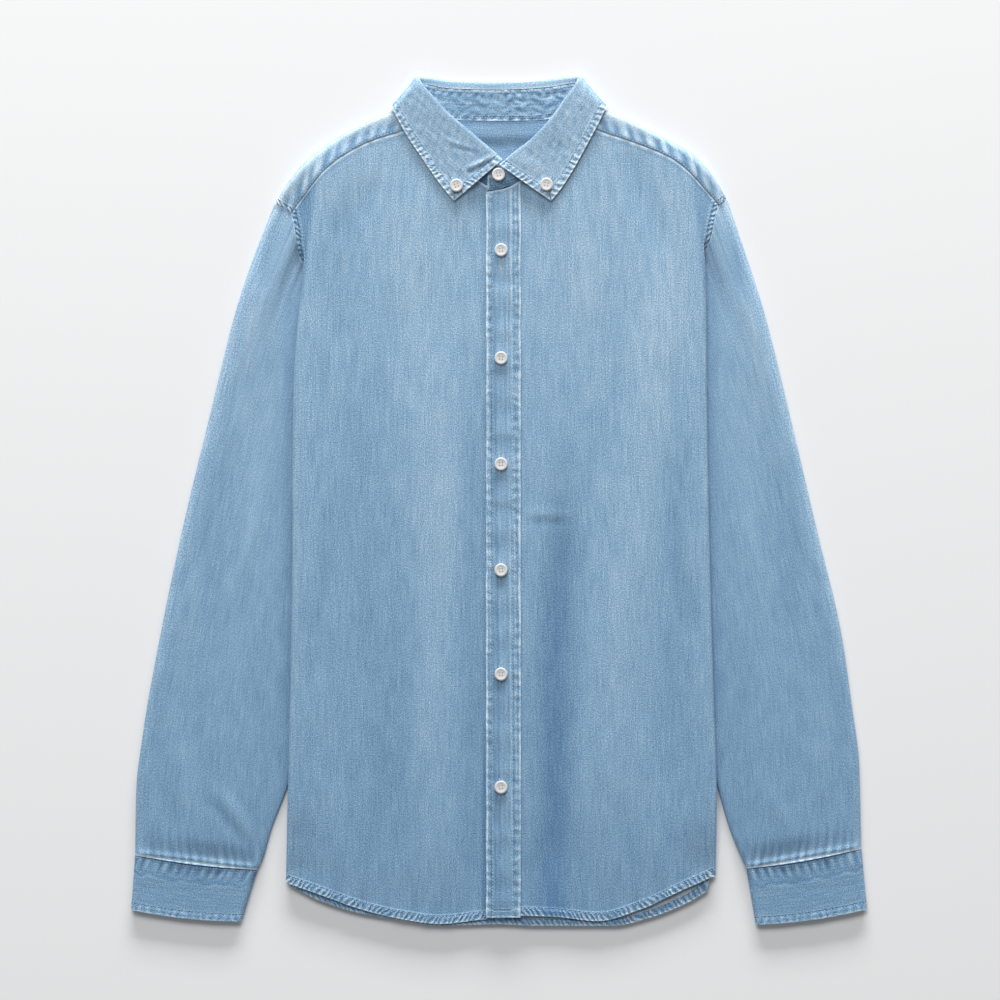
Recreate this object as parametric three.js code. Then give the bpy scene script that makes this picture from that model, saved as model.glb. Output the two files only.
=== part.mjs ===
// A long-sleeved button-down denim shirt, laid face up on a flat surface with its sleeves drawn down beside
// the body. Millimetres, +Z up, +Y towards the collar, +X towards the wearer's left sleeve. Each cut piece is
// a thin closed wall of cloth. The fronts turn under at the body's sides and meet the back underneath.
import * as THREE from 'three';

// ---- driving dimensions
const CLOTH = 1.2; // wall of one panel
const SEAM = 0.35; // gap between two sewn edges
const PLY = CLOTH + 0.35; // height from one layer to the next
const FLOOR = CLOTH / 2; // middle of a panel that lies on the surface
const FOLD_RADIUS = 3; // of the body's turned sides
const SLEEVE_LIFT = 3.9; // what a hidden sleeve raises the body by
const FRONT_HEIGHT = 7.2; // middle of the front panels over the back
const YOKE_HEIGHT = 7.4; // middle of the front edge of the yoke
const HEM_Y = -388; // front hem at the centre
const UNDERARM_Y = 60;
const PLACKET = { left: -12.1, right: 19.5 };
const BUTTON = { radius: 6, height: 2.6, rim: 0.7, well: 3.6 };
const DENIM = 0x88acc9;

// ---- small helpers
const lerp = (a, b, t) => a + (b - a) * t;
const clamp01 = (t) => Math.min(1, Math.max(0, t));
const smooth = (t) => clamp01(t) ** 2 * (3 - 2 * clamp01(t));
const point = (x, y, z) => new THREE.Vector3(x, y, z);

// The value of a table's column where another column, rising or falling, has the value at.
function look(rows, key, column, at) {
  const rising = rows[rows.length - 1][key] > rows[0][key];
  const order = rising ? rows : [...rows].reverse();
  if (at <= order[0][key]) return order[0][column];
  for (let i = 1; i < order.length; i += 1) {
    const [a, b] = [order[i - 1], order[i]];
    if (at <= b[key]) return lerp(a[column], b[column], (at - a[key]) / (b[key] - a[key]));
  }
  return order[order.length - 1][column];
}

// Vertices and triangles of a closed mesh, turned outwards where they came out inside out.
function closedGeometry(vertices, triangles) {
  let volume = 0;
  for (const [a, b, c] of triangles) {
    volume += vertices[a].dot(new THREE.Vector3().crossVectors(vertices[b], vertices[c]));
  }
  const index = triangles.flatMap(([a, b, c]) => (volume < 0 ? [a, c, b] : [a, b, c]));
  const geometry = new THREE.BufferGeometry().setFromPoints(vertices);
  geometry.setIndex(index);
  geometry.computeVertexNormals();
  return geometry;
}

// A wall of cloth round a grid of middle points, rows by columns.
function wall(grid, thickness = CLOTH) {
  const [rows, columns] = [grid.length, grid[0].length];
  const at = (i, j) => grid[Math.min(rows - 1, Math.max(0, i))][Math.min(columns - 1, Math.max(0, j))];
  const faces = [[], []];
  for (let i = 0; i < rows; i += 1) {
    for (let j = 0; j < columns; j += 1) {
      const along = new THREE.Vector3().subVectors(at(i + 1, j), at(i - 1, j));
      const across = new THREE.Vector3().subVectors(at(i, j + 1), at(i, j - 1));
      const normal = new THREE.Vector3().crossVectors(across, along).normalize();
      faces[0].push(grid[i][j].clone().addScaledVector(normal, thickness / 2));
      faces[1].push(grid[i][j].clone().addScaledVector(normal, -thickness / 2));
    }
  }
  const vertices = [...faces[0], ...faces[1]];
  const under = rows * columns;
  const triangles = [];
  const quad = (a, b, c, d) => triangles.push([a, b, c], [a, c, d]);
  for (let i = 0; i + 1 < rows; i += 1) {
    for (let j = 0; j + 1 < columns; j += 1) {
      const [a, b] = [i * columns + j, i * columns + j + 1];
      const [c, d] = [b + columns, a + columns];
      quad(a, b, c, d);
      quad(under + a, under + d, under + c, under + b);
    }
  }
  const edge = (a, b) => quad(b, a, under + a, under + b);
  for (let j = 0; j + 1 < columns; j += 1) {
    edge(j, j + 1);
    edge((rows - 1) * columns + j + 1, (rows - 1) * columns + j);
  }
  for (let i = 0; i + 1 < rows; i += 1) {
    edge((i + 1) * columns, i * columns);
    edge(i * columns + columns - 1, (i + 1) * columns + columns - 1);
  }
  return closedGeometry(vertices, triangles);
}

// A tube of cloth through outer and inner loops, one of each at every station, open at both ends.
function tube(outer, inner) {
  const [stations, count] = [outer.length, outer[0].length];
  const vertices = [...outer.flat(), ...inner.flat()];
  const within = stations * count;
  const triangles = [];
  const quad = (a, b, c, d) => triangles.push([a, b, c], [a, c, d]);
  for (let j = 0; j < count; j += 1) {
    const next = (j + 1) % count;
    for (let i = 0; i + 1 < stations; i += 1) {
      const [a, b, c, d] = [i * count + j, i * count + next, (i + 1) * count + next, (i + 1) * count + j];
      quad(a, b, c, d);
      quad(within + a, within + d, within + c, within + b);
    }
    quad(next, j, within + j, within + next);
    const last = (stations - 1) * count;
    quad(last + j, last + next, within + last + next, within + last + j);
  }
  return closedGeometry(vertices, triangles);
}

// ---- the body's outline. q is the distance from the centre line towards the panel's own side.
const SIDES = {
  right: {
    sign: -1,
    fold: [
      { y: -349, q: 196.6 }, { y: -276, q: 195 }, { y: -92, q: 191.4 }, { y: 92, q: 190 },
      { y: 150, q: 187 }, { y: 194, q: 182.6 }, { y: 230, q: 179 }, { y: 263, q: 175 }, { y: 296, q: 171.6 },
    ],
    // armhole, from the underarm up: reach is the cloth beyond the fold, turn the angle that it folds by
    armhole: [
      { y: 60, reach: 85.4, foldY: 60, turn: 180 }, { y: 72, reach: 77, foldY: 72, turn: 180 },
      { y: 95, reach: 59, foldY: 95, turn: 180 }, { y: 130, reach: 38, foldY: 130, turn: 180 },
      { y: 170, reach: 19, foldY: 170, turn: 180 }, { y: 200, reach: 9.6, foldY: 202, turn: 170 },
      { y: 216.7, reach: 5, foldY: 221, turn: 90 }, { y: 230.5, reach: 8.2, foldY: 240, turn: 22 },
      { y: 247, reach: 12.9, foldY: 265, turn: 12 }, { y: 264.5, reach: 20, foldY: 296, turn: 12 },
    ],
    yokeSeam: [
      { q: 76, y: 342.5 }, { q: 96, y: 337.3 }, { q: 119, y: 330 }, { q: 142, y: 318.7 }, { q: 165, y: 304 },
    ],
    shoulder: [
      { q: 88, y: 363 }, { q: 99.8, y: 358 }, { q: 119, y: 350 }, { q: 147, y: 335 }, { q: 174, y: 316 },
      { q: 192, y: 296.5 }, { q: 206.5, y: 273.7 },
    ],
    hem: [
      { q: -20, y: -383 }, { q: 19, y: -386 }, { q: 54.7, y: -389.6 }, { q: 91.5, y: -384 },
      { q: 128, y: -373 }, { q: 165, y: -360 }, { q: 183, y: -356 }, { q: 194, y: -349 },
    ],
    sleeveOut: [
      { y: 273.7, x: 206.5 }, { y: 230, x: 224 }, { y: 175, x: 242.4 }, { y: 83, x: 265.4 },
      { y: -27, x: 292 }, { y: -138, x: 315 }, { y: -212, x: 328 }, { y: -267, x: 334.5 }, { y: -326.4, x: 335.5 },
    ],
    sleeveIn: [
      { y: 60, x: 108 }, { y: -100, x: 152 }, { y: -262, x: 194.6 }, { y: -303, x: 210 },
      { y: -331.7, x: 218.5 }, { y: -339.8, x: 223 },
    ],
    cuff: { outTop: [335.5, -326.9], inTop: [223, -340.4], outEnd: [339.2, -376.8], inEnd: [237.6, -387.6] },
    cuffDip: 2.5,
    under: 1,
  },
  left: {
    sign: 1,
    fold: [
      { y: -349, q: 199 }, { y: -276, q: 200 }, { y: -184, q: 197.3 }, { y: -92, q: 194.6 }, { y: 92, q: 190.9 },
      { y: 203, q: 190 }, { y: 221, q: 189 }, { y: 240, q: 187.2 }, { y: 272, q: 183.5 }, { y: 300, q: 180.8 },
    ],
    armhole: [
      { y: 60, reach: 85.4, foldY: 60, turn: 180 }, { y: 72, reach: 77, foldY: 72, turn: 180 },
      { y: 95, reach: 59, foldY: 95, turn: 180 }, { y: 130, reach: 40, foldY: 130, turn: 180 },
      { y: 170, reach: 22, foldY: 170, turn: 180 }, { y: 208, reach: 9.6, foldY: 208, turn: 170 },
      { y: 227, reach: 5, foldY: 230, turn: 90 }, { y: 240, reach: 8.2, foldY: 250, turn: 22 },
      { y: 256.2, reach: 14.1, foldY: 275, turn: 12 }, { y: 271.9, reach: 21, foldY: 300, turn: 12 },
    ],
    yokeSeam: [
      { q: 76, y: 343.5 }, { q: 101.7, y: 336.3 }, { q: 129.3, y: 327 }, { q: 156.9, y: 315.1 }, { q: 172, y: 307 },
    ],
    shoulder: [
      { q: 88, y: 363 }, { q: 99, y: 358.5 }, { q: 120, y: 350 }, { q: 148, y: 335.5 }, { q: 175, y: 321 },
      { q: 194, y: 302 }, { q: 209.3, y: 277.4 },
    ],
    hem: [
      { q: -13, y: -385 }, { q: 18, y: -382 }, { q: 50, y: -383 }, { q: 91, y: -387 }, { q: 129, y: -378.6 },
      { q: 166, y: -363 }, { q: 194, y: -350 }, { q: 197, y: -346 },
    ],
    sleeveOut: [
      { y: 277.4, x: 209.3 }, { y: 230, x: 225.4 }, { y: 175, x: 243 }, { y: 83, x: 266 }, { y: -27, x: 292 },
      { y: -119, x: 314 }, { y: -193, x: 325 }, { y: -240, x: 331 }, { y: -320.5, x: 333 },
    ],
    sleeveIn: [
      { y: 60, x: 108 }, { y: -100, x: 154 }, { y: -262, x: 200 }, { y: -303, x: 212 },
      { y: -331.7, x: 224 }, { y: -338.7, x: 227.3 },
    ],
    cuff: { outTop: [333.2, -321], inTop: [227.3, -339.2], outEnd: [338.4, -376.3], inEnd: [236.1, -390.7] },
    cuffDip: 2.5,
    under: 0,
  },
};
// neckline from the panel's own centre edge to the corner with the yoke, the same on both sides
const NECKLINE = [
  { q: -12, y: 284 }, { q: 4.5, y: 287 }, { q: 18.9, y: 293.9 }, { q: 40, y: 311 }, { q: 61, y: 328 },
];
// back hem, across the whole body
const BACK_HEM = [
  { x: -192, y: -353 }, { x: -165, y: -366.6 }, { x: -128, y: -378.6 }, { x: -91.5, y: -386 },
  { x: -54.7, y: -391.2 }, { x: 0, y: -390 }, { x: 33, y: -391.5 }, { x: 104.4, y: -391.5 },
  { x: 138.5, y: -384 }, { x: 175, y: -369.4 }, { x: 192, y: -359 },
];
// the large soft folds of the fronts: a trough is below zero, a ridge above
const FOLDS = [
  { x: 56, tilt: 0.02, width: 17, depth: -2.6, low: -470, high: 60 },
  { x: -62, tilt: -0.02, width: 26, depth: 1.2, low: -390, high: 200 },
  { x: -26, tilt: 0, width: 13, depth: -1.1, low: -400, high: 130 },
  { x: 128, tilt: 0.12, width: 24, depth: 1, low: -330, high: 330 },
  { x: -130, tilt: -0.1, width: 28, depth: -0.8, low: -360, high: 330 },
];

const foldAt = (side, y) => look(side.fold, 'y', 'q', y);

// Where the sleeve's hidden edge lies under the body, as a distance from the centre line.
function sleeveEdge(side, y) {
  if (y <= UNDERARM_Y) return look(side.sleeveIn, 'y', 'x', y);
  const reach = look(side.armhole, 'y', 'reach', y);
  const bend = FOLD_RADIUS * (Math.PI - 2);
  return foldAt(side, y) - reach + Math.min(bend, reach);
}

// How far the sleeve below raises the cloth at a place.
function lift(side, q, y) {
  return SLEEVE_LIFT * (1 - smooth((sleeveEdge(side, y) - 5 - q) / 25));
}

function foldShape(x, y) {
  let height = 0;
  for (const f of FOLDS) {
    const across = (x - f.x - f.tilt * y) / f.width;
    const along = smooth((y - f.low) / 90) * smooth((f.high - y) / 130);
    height += f.depth * Math.exp(-across * across) * along;
  }
  return height;
}

// Height of the middle of a front panel.
function frontHeight(side, q, y) {
  const x = side.sign * q;
  const fold = foldAt(side, y);
  const edge = FLOOR + 2 * FOLD_RADIUS + lift(side, fold, y);
  const hemLine = 2.6 + 1.6 * Math.exp(-((x / 30) ** 2));
  const toHem = smooth((HEM_Y + 72 - y) / 72);
  const toYoke = smooth((y - 225) / 75);
  const open = lerp(lerp(FRONT_HEIGHT + foldShape(x, y), hemLine, toHem), YOKE_HEIGHT, toYoke);
  const middle = open - side.under * PLY * smooth((x + 40) / 24);
  return lerp(middle, edge, smooth((q - fold + 46) / 38));
}

// A point of a front panel: q runs flat to the fold, and what is beyond goes round it and under the body.
function bodyPoint(side, q, y, foldY, turn) {
  const edge = foldAt(side, foldY) - CLOTH / 2;
  const start = edge - FOLD_RADIUS;
  const past = q - start;
  if (past <= 0) return point(side.sign * q, y, frontHeight(side, q, y));
  const top = frontHeight(side, start, foldY);
  const angle = Math.min(past / FOLD_RADIUS, turn);
  const rest = past - FOLD_RADIUS * angle;
  const at = start + FOLD_RADIUS * Math.sin(angle) + rest * Math.cos(turn);
  const bent = top - FOLD_RADIUS * (1 - Math.cos(angle)) - rest * Math.sin(turn);
  const laid = FLOOR + lift(side, at, y);
  const share = turn > 3.1 ? clamp01(past / FOLD_RADIUS / Math.PI) : 0;
  return point(side.sign * at, y, lerp(bent, laid, share ** 4));
}

// ---- front panels, from the centre edge to the side seam and the armhole
const SEAM_ROWS = [
  { y: -344, foldY: -347 }, { y: -310, foldY: -312 }, { y: -270, foldY: -271 }, { y: -215, foldY: -215 },
  { y: -150, foldY: -150 }, { y: -80, foldY: -80 }, { y: -20, foldY: -20 }, { y: 25, foldY: 25 },
].map((row) => ({ ...row, reach: lerp(11, 85.4, (row.y + 344) / 404), turn: 180 }));

function frontGrid(side) {
  const rows = [...SEAM_ROWS, ...side.armhole];
  const top = [...NECKLINE, ...side.yokeSeam];
  const [first, last] = [rows[0], rows[rows.length - 1]];
  const startAt = (y) => foldAt(side, y) - CLOTH / 2 - FOLD_RADIUS;
  const from = top[0].q;
  const shares = [...top.map((p) => (p.q - from) / (startAt(last.foldY) - from)), 1];
  const topY = [...top.map((p) => p.y), last.foldY + 4];
  return rows.map((row) => {
    const v = (row.foldY - first.foldY) / (last.foldY - first.foldY);
    const turn = THREE.MathUtils.degToRad(row.turn);
    const start = startAt(row.foldY);
    const flat = shares.map((share, j) => {
      const q = lerp(from, start, share);
      const hemY = look(side.hem, 'q', 'y', q);
      const rise = lerp(lerp(hemY, first.foldY, share ** 8), topY[j], v);
      const level = lerp(lerp(HEM_Y, first.foldY, share), lerp(300, last.foldY, share), v);
      const nearEnds = Math.abs(2 * v - 1) ** 2.5;
      return bodyPoint(side, q, lerp(level, rise, nearEnds), row.foldY, turn);
    });
    const lengths = [0.25, 0.5, 0.75, 1].map((a) => a * Math.min(Math.PI * FOLD_RADIUS, row.reach * 0.7));
    const reach = row.reach + FOLD_RADIUS + CLOTH / 2;
    const ends = [...lengths, lerp(lengths[3], reach, 0.4), lerp(lengths[3], reach, 0.7), reach];
    const foldHeight = flat[flat.length - 1].y;
    const turned = ends.map((length) => {
      const y = lerp(foldHeight, row.y, length / reach);
      return bodyPoint(side, start + length, y, row.foldY, turn);
    });
    return [...flat, ...turned];
  });
}

const fronts = { right: frontGrid(SIDES.right), left: frontGrid(SIDES.left) };
const sideEdge = (name) => fronts[name].map((row) => row[row.length - 1]);
const headEdge = (name) => fronts[name][fronts[name].length - 1];

// ---- back panel, flat on the surface between the side seams and the armholes
function backGrid() {
  const edges = [sideEdge('right'), sideEdge('left')];
  const count = edges[0].length - 1;
  const columns = 11;
  return edges[0].slice(0, count).map((start, i) => {
    const end = edges[1][i];
    return Array.from({ length: columns }, (_, j) => {
      const t = j / (columns - 1);
      const x = lerp(start.x + SEAM / 2 + 0.1, end.x - SEAM / 2 - 0.1, t);
      const side = x < 0 ? SIDES.right : SIDES.left;
      const straight = lerp(start.y, end.y, t);
      const drop = look(BACK_HEM, 'x', 'y', x) - straight;
      const y = straight + (j === 0 || j === columns - 1 ? 0 : drop * (1 - i / count) ** 6);
      const raised = lift(side, Math.abs(x), y) * (1 - smooth((y - 15) / 40));
      return point(x, y, FLOOR + raised);
    });
  });
}

// ---- yoke: from the back seam over the shoulders to the front seams, and to the neck between them
const LEAF_EDGE_Y = 341;
const backNeckY = (x) => 349.4 + 13 * Math.abs(x / 88) ** 3.5;
const yokeBackZ = (x, y) => {
  const leafEdge = LEAF_EDGE_Y + 20 * Math.abs(x / 98) ** 2.5;
  return FLOOR + 2.1 * smooth((y - leafEdge + 16) / 12);
};

// The straight seam between the back and the yoke.
function backSeamY(x) {
  const [a, b] = ['right', 'left'].map((name) => sideEdge(name)[sideEdge(name).length - 2]);
  return lerp(a.y, b.y, (x - a.x) / (b.x - a.x)) + SEAM;
}

function shoulderRow(side, head, foldQ, footX, share) {
  const x = side.sign;
  const foldY = look(side.shoulder, 'q', 'y', foldQ);
  const low = yokeBackZ(foldQ, foldY - 6);
  const top = Math.max(head.z, low + 3);
  const radius = (top - low) / 2;
  const out = point(x * foldQ - head.x, foldY - head.y, 0).normalize();
  const centre = point(x * foldQ, foldY, low + radius).addScaledVector(out, -radius - CLOTH / 2);
  const arc = [-90, -45, 0, 45, 90].map((degrees) => {
    const a = THREE.MathUtils.degToRad(degrees);
    return centre.clone().addScaledVector(out, radius * Math.cos(a)).add(point(0, 0, radius * Math.sin(a)));
  });
  const foot = point(footX, backSeamY(footX), FLOOR);
  const middle = foot.clone().lerp(arc[0], 0.5).lerp(point(head.x - x * 0.2, head.y, FLOOR), share ** 6);
  middle.z = yokeBackZ(middle.x, middle.y);
  const seamed = head.clone().addScaledVector(out, SEAM);
  return [foot, middle, ...arc, seamed];
}

function yokeHalf(name) {
  const side = SIDES[name];
  const heads = headEdge(name).slice(NECKLINE.length);
  const foot = sideEdge(name)[sideEdge(name).length - 2];
  const tipQ = side.shoulder[side.shoulder.length - 1].q;
  const rows = heads.map((head, i) => {
    const share = (Math.abs(head.x) - 76) / (Math.abs(heads[heads.length - 1].x) - 76);
    const foldQ = lerp(88.5, tipQ - 0.4, share);
    const footX = lerp(76 * side.sign, foot.x, share);
    return shoulderRow(side, head, foldQ, footX, share);
  });
  const beside = shoulderRow(side, point(side.sign * 82, 352.8, 7.2), 88.8, side.sign * 73, 0);
  const neck = [84, 70, 52, 35, 18].map((q) => neckRow(side.sign * q));
  return [...rows.reverse(), beside, turnRow(side), ...neck];
}

const NECK_SHARES = [0, 0.4, 0.72, 0.8, 0.86, 0.92, 0.96, 1];

// From the back seam straight up to the neck.
function neckRow(x) {
  return NECK_SHARES.map((t) => {
    const at = x * lerp(0.82, 1, t);
    const y = lerp(backSeamY(at), backNeckY(x) - SEAM, t);
    return point(at, y, yokeBackZ(x, y));
  });
}

// Where the neck edge itself goes round the shoulder fold.
function turnRow(side) {
  return NECK_SHARES.map((t) => {
    const at = side.sign * lerp(71, 87.4, t);
    const y = lerp(backSeamY(at), 361.5, t);
    return point(at, y, yokeBackZ(88, y) + 1.9 * smooth((t - 0.86) / 0.14));
  });
}

function yokeGrid() {
  return [...yokeHalf('right'), neckRow(0), ...yokeHalf('left').reverse()];
}

// The yoke's second ply, whose face shows inside the neck.
function yokeFacingGrid() {
  return [-66, -44, -22, 0, 22, 44, 66].map((x) =>
    [262, 294, 325, 331, 337, 343, backNeckY(x) - 1].map((y) => point(x, y, yokeBackZ(x, y) + PLY + 0.4)),
  );
}

// ---- sleeves: flattened tubes from the armhole to the cuff seam, their inner edge under the body
const EDGE_ROUND = 5;

function sleeveStations(side, name) {
  const seam = sideEdge(name);
  const tip = side.shoulder[side.shoulder.length - 1];
  const hidden = seam.slice(SEAM_ROWS.length).reverse();
  const armhole = [point(side.sign * tip.q, tip.y, 4), ...hidden];
  const shift = point(side.sign * 0.45, -0.1, 0);
  const path = armhole.map((p) => p.clone().add(shift));
  const lengths = path.map((p, i) => (i ? Math.hypot(p.x - path[i - 1].x, p.y - path[i - 1].y) : 0));
  const total = lengths.reduce((a, b) => a + b);
  let run = 0;
  const rows = path.map((p, i) => {
    run += lengths[i];
    return { k: run / total, x: p.x, y: p.y, z: p.z };
  });
  const shares = [0, 0.014, 0.034, ...rows.slice(1, -1).map((row) => row.k), 0.966, 0.986, 1];
  return { rows, shares };
}

function sleeveTube(name) {
  const side = SIDES[name];
  const { rows, shares } = sleeveStations(side, name);
  const along = [0, 0.015, 0.04, 0.08, 0.14, 0.22, 0.31, 0.4, 0.5, 0.6, 0.7, 0.79, 0.87, 0.94, 1];
  const rim = (table, t) => {
    const y = lerp(table[0].y, table[table.length - 1].y, t);
    return [side.sign * look(table, 'y', 'x', y), y];
  };
  const plan = (k, t) => {
    const [o, i] = [rim(side.sleeveOut, t), rim(side.sleeveIn, t)];
    const [o0, i0] = [rim(side.sleeveOut, 0), rim(side.sleeveIn, 0)];
    const a = [look(rows, 'k', 'x', k), look(rows, 'k', 'y', k)];
    return [0, 1].map((n) => lerp(o[n], i[n], k) + (1 - t) * (a[n] - lerp(o0[n], i0[n], k)));
  };
  const topHeight = (k, t, x, y) => {
    const q = Math.abs(x);
    const shown = smooth((q - foldAt(side, y) - 11) / 24);
    const free = lerp(3.6, 8.2 + 0.8 * Math.sin(q * 0.045 + y * 0.012), shown);
    const width = 240 - 120 * t;
    const outer = Math.sqrt(1 - (1 - clamp01((k * width) / (3 * EDGE_ROUND))) ** 2);
    const seamTop = look(rows, 'k', 'z', k);
    const turned = smooth((k - 0.16) / 0.08);
    const atSeam = lerp(seamTop + CLOTH / 2, Math.min(3.6, seamTop + CLOTH / 2 - PLY), turned);
    const full = lerp(3.6, free, 0.35 + 0.65 * outer);
    return lerp(atSeam, full, smooth(t / 0.14));
  };
  const loop = (t, inset) => {
    const round = (s) => Math.sqrt(1 - (1 - clamp01(s)) ** 2);
    const [a, b] = [plan(0, t), plan(1, t)];
    const width = Math.hypot(a[0] - b[0], a[1] - b[1]);
    const section = shares.map((share) => {
      const k = lerp(inset / width, 1 - inset / width, share);
      const [x, y] = plan(k, t);
      const top = topHeight(k, t, x, y) - inset;
      const half = (top - inset) / 2;
      const near = Math.min(share, 1 - share) * width;
      const squash = share === 0 || share === 1 ? 0 : round(0.25 + near / EDGE_ROUND);
      return { x, y, high: inset + half * (1 + squash), low: inset + half * (1 - squash) };
    });
    const inner = section.slice(1, -1).reverse();
    return [...section.map((s) => point(s.x, s.y, s.high)), ...inner.map((s) => point(s.x, s.y, s.low))];
  };
  return tube(along.map((t) => loop(t, 0)), along.map((t) => loop(t, CLOTH)));
}

// ---- cuffs: stiffer flattened bands beyond the cuff seam
const CUFF_HEIGHT = 6.4;

function cuffTube(side) {
  const { outTop, inTop, outEnd, inEnd } = side.cuff;
  const shares = [0, 0.012, 0.04, 0.2, 0.4, 0.6, 0.8, 0.96, 0.988, 1];
  const loop = (t, inset) => {
    const width = 110;
    const section = shares.map((share) => {
      const k = lerp(inset / width, 1 - inset / width, share);
      const dip = side.cuffDip * Math.sin(Math.PI * k);
      const x = lerp(lerp(outTop[0], inTop[0], k), lerp(outEnd[0], inEnd[0], k), t);
      const y = lerp(lerp(outTop[1], inTop[1], k), lerp(outEnd[1], inEnd[1], k), t) - dip - SEAM;
      const near = Math.min(share, 1 - share) * width;
      const squash = share === 0 || share === 1 ? 0 : Math.sqrt(1 - (1 - clamp01(0.25 + near / 4)) ** 2);
      const half = CUFF_HEIGHT / 2 - inset;
      return { x: side.sign * x, y, high: CUFF_HEIGHT / 2 + half * squash, low: CUFF_HEIGHT / 2 - half * squash };
    });
    const inner = section.slice(1, -1).reverse();
    return [...section.map((s) => point(s.x, s.y, s.high)), ...inner.map((s) => point(s.x, s.y, s.low))];
  };
  return tube([0, 0.5, 1].map((t) => loop(t, 0)), [0, 0.5, 1].map((t) => loop(t, CLOTH)));
}

// ---- collar. roll is the folded top edge, edge the free edge of the leaf, seam the stand's neck edge;
// turn goes from 0, in front, to 180, behind the neck.
const COLLAR_LEFT = [
  { roll: [3.4, 312, 13.4], edge: [47.4, 275.5, 9.7], seam: [18.9, 294.4, 7.6], turn: 0 },
  { roll: [15.5, 322, 13.4], edge: [55.7, 285.7, 9.7], seam: [31, 304.3, 7.6], turn: 0 },
  { roll: [28.1, 331.7, 13.4], edge: [65.5, 300.5, 9.7], seam: [44, 315, 7.6], turn: 0 },
  { roll: [46.5, 351, 13.4], edge: [79, 324.5, 9.8], seam: [65, 333, 7.6], turn: 0 },
  { roll: [60.3, 370.3, 13], edge: [90.5, 346, 10], seam: [77.6, 351, 7.8], turn: 0 },
  { roll: [70.5, 384.5, 12], edge: [97.2, 359.4, 10.2], seam: [83, 361, 7.6], turn: 20 },
  { roll: [73.9, 391, 7.6], edge: [98.8, 361.8, 5.8], seam: [86, 366.5, 6.2], turn: 90 },
  { roll: [67, 390.5, 2.2], edge: [97, 360, 0.9], seam: [80, 363.5, 4.4], turn: 165 },
  { roll: [46.5, 388.6, 0.6], edge: [56, 344.5, 0.6], seam: [57, 353.2, 2.8], turn: 180 },
  { roll: [22, 386.6, 0.6], edge: [27, 341.5, 0.6], seam: [28, 350, 2.6], turn: 180 },
];
const COLLAR_RIGHT = [
  { roll: [0, 386, 0.6], edge: [0, 341, 0.6], seam: [0, 349.8, 2.6], turn: 180 },
  { roll: [-22, 386.2, 0.6], edge: [-27, 341.5, 0.6], seam: [-28, 350, 2.6], turn: 180 },
  { roll: [-46.5, 387.2, 0.6], edge: [-56, 344.5, 0.6], seam: [-57, 353.2, 2.8], turn: 180 },
  { roll: [-68, 389.8, 2.2], edge: [-97.5, 360, 0.9], seam: [-80, 363.5, 4.4], turn: 165 },
  { roll: [-75.2, 390.6, 7.6], edge: [-99.4, 361.8, 5.8], seam: [-86, 366.5, 6.2], turn: 90 },
  { roll: [-72, 385, 12], edge: [-98, 359.4, 10.2], seam: [-83, 361, 7.6], turn: 20 },
  { roll: [-62.1, 373.1, 13], edge: [-91.5, 347, 10], seam: [-77.6, 351, 7.8], turn: 0 },
  { roll: [-50.1, 359.3, 13.4], edge: [-84, 334, 9.8], seam: [-70, 338, 7.6], turn: 0 },
  { roll: [-36.3, 347.3, 13.4], edge: [-71.5, 315.5, 9.7], seam: [-58, 326, 7.6], turn: 0 },
  { roll: [-17.9, 331.7, 13.4], edge: [-56, 293, 9.7], seam: [-38, 309.8, 7.2], turn: 0 },
  { roll: [-0.6, 314.5, 13.4], edge: [-41.9, 275.5, 9.7], seam: [-18.9, 294.4, 6.4], turn: 0 },
];
const COLLAR = [...COLLAR_LEFT, ...COLLAR_RIGHT];
const STAND_TOP = { along: 8.4, below: 2.8 };

function collarFrame(row) {
  const [roll, edge] = [point(...row.roll), point(...row.edge)];
  const down = edge.clone().sub(roll);
  const flat = point(down.x, down.y, 0).normalize();
  const sign = row.edge[0] < 0 ? -1 : 1;
  const outward = point(-flat.y * sign, flat.x * sign, 0);
  const a = THREE.MathUtils.degToRad(row.turn);
  const face = point(0, 0, Math.cos(a)).addScaledVector(outward, Math.sin(a));
  return { roll, edge, down, flat, face };
}

function leafGrid() {
  return COLLAR.map((row) => {
    const { roll, down, flat, face } = collarFrame(row);
    const at = (along, below) => roll.clone().addScaledVector(flat, along).addScaledVector(face, -below);
    const leaf = [0.05, 0.3, 0.65, 1].map((t) => roll.clone().addScaledVector(down, t));
    return [at(STAND_TOP.along - 1.1, STAND_TOP.below), at(2.2, STAND_TOP.below - 0.2), at(0.6, 1.4), ...leaf];
  });
}

function standGrid() {
  const body = COLLAR.map((row) => {
    const { roll, flat, face } = collarFrame(row);
    const top = roll.clone().addScaledVector(flat, STAND_TOP.along).addScaledVector(face, -STAND_TOP.below);
    return [top, point(...row.seam)];
  });
  const ends = {
    left: [[point(-2.5, 305.5, 10.3), point(-1, 286.8, 8.3)], [point(-10.6, 298.5, 9.9), point(-11.4, 284.9, 8.3)]],
    right: [[point(5.5, 303.5, 8), point(2, 287, 5.6)], [point(12, 297.5, 7.2), point(11.8, 286.2, 5.4)]],
  };
  const rows = [ends.left[1], ends.left[0], ...body, ...ends.right];
  return rows.map(([top, seam]) => [top, top.clone().lerp(seam, 0.5), seam]);
}

// ---- placket: a folded band on the wearer's left front, over the other front
function placketGrid() {
  const side = SIDES.left;
  const ys = Array.from({ length: 17 }, (_, i) => lerp(-383.5, 281.8, i / 16));
  return ys.map((y, i) =>
    [0, 0.5, 1].map((t) => {
      const x = lerp(PLACKET.left, PLACKET.right, t);
      const endY = i === 16 ? y + 9.7 * t * t : y;
      return point(x, endY, frontHeight(side, x, y) + PLY + 0.25);
    }),
  );
}

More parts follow.
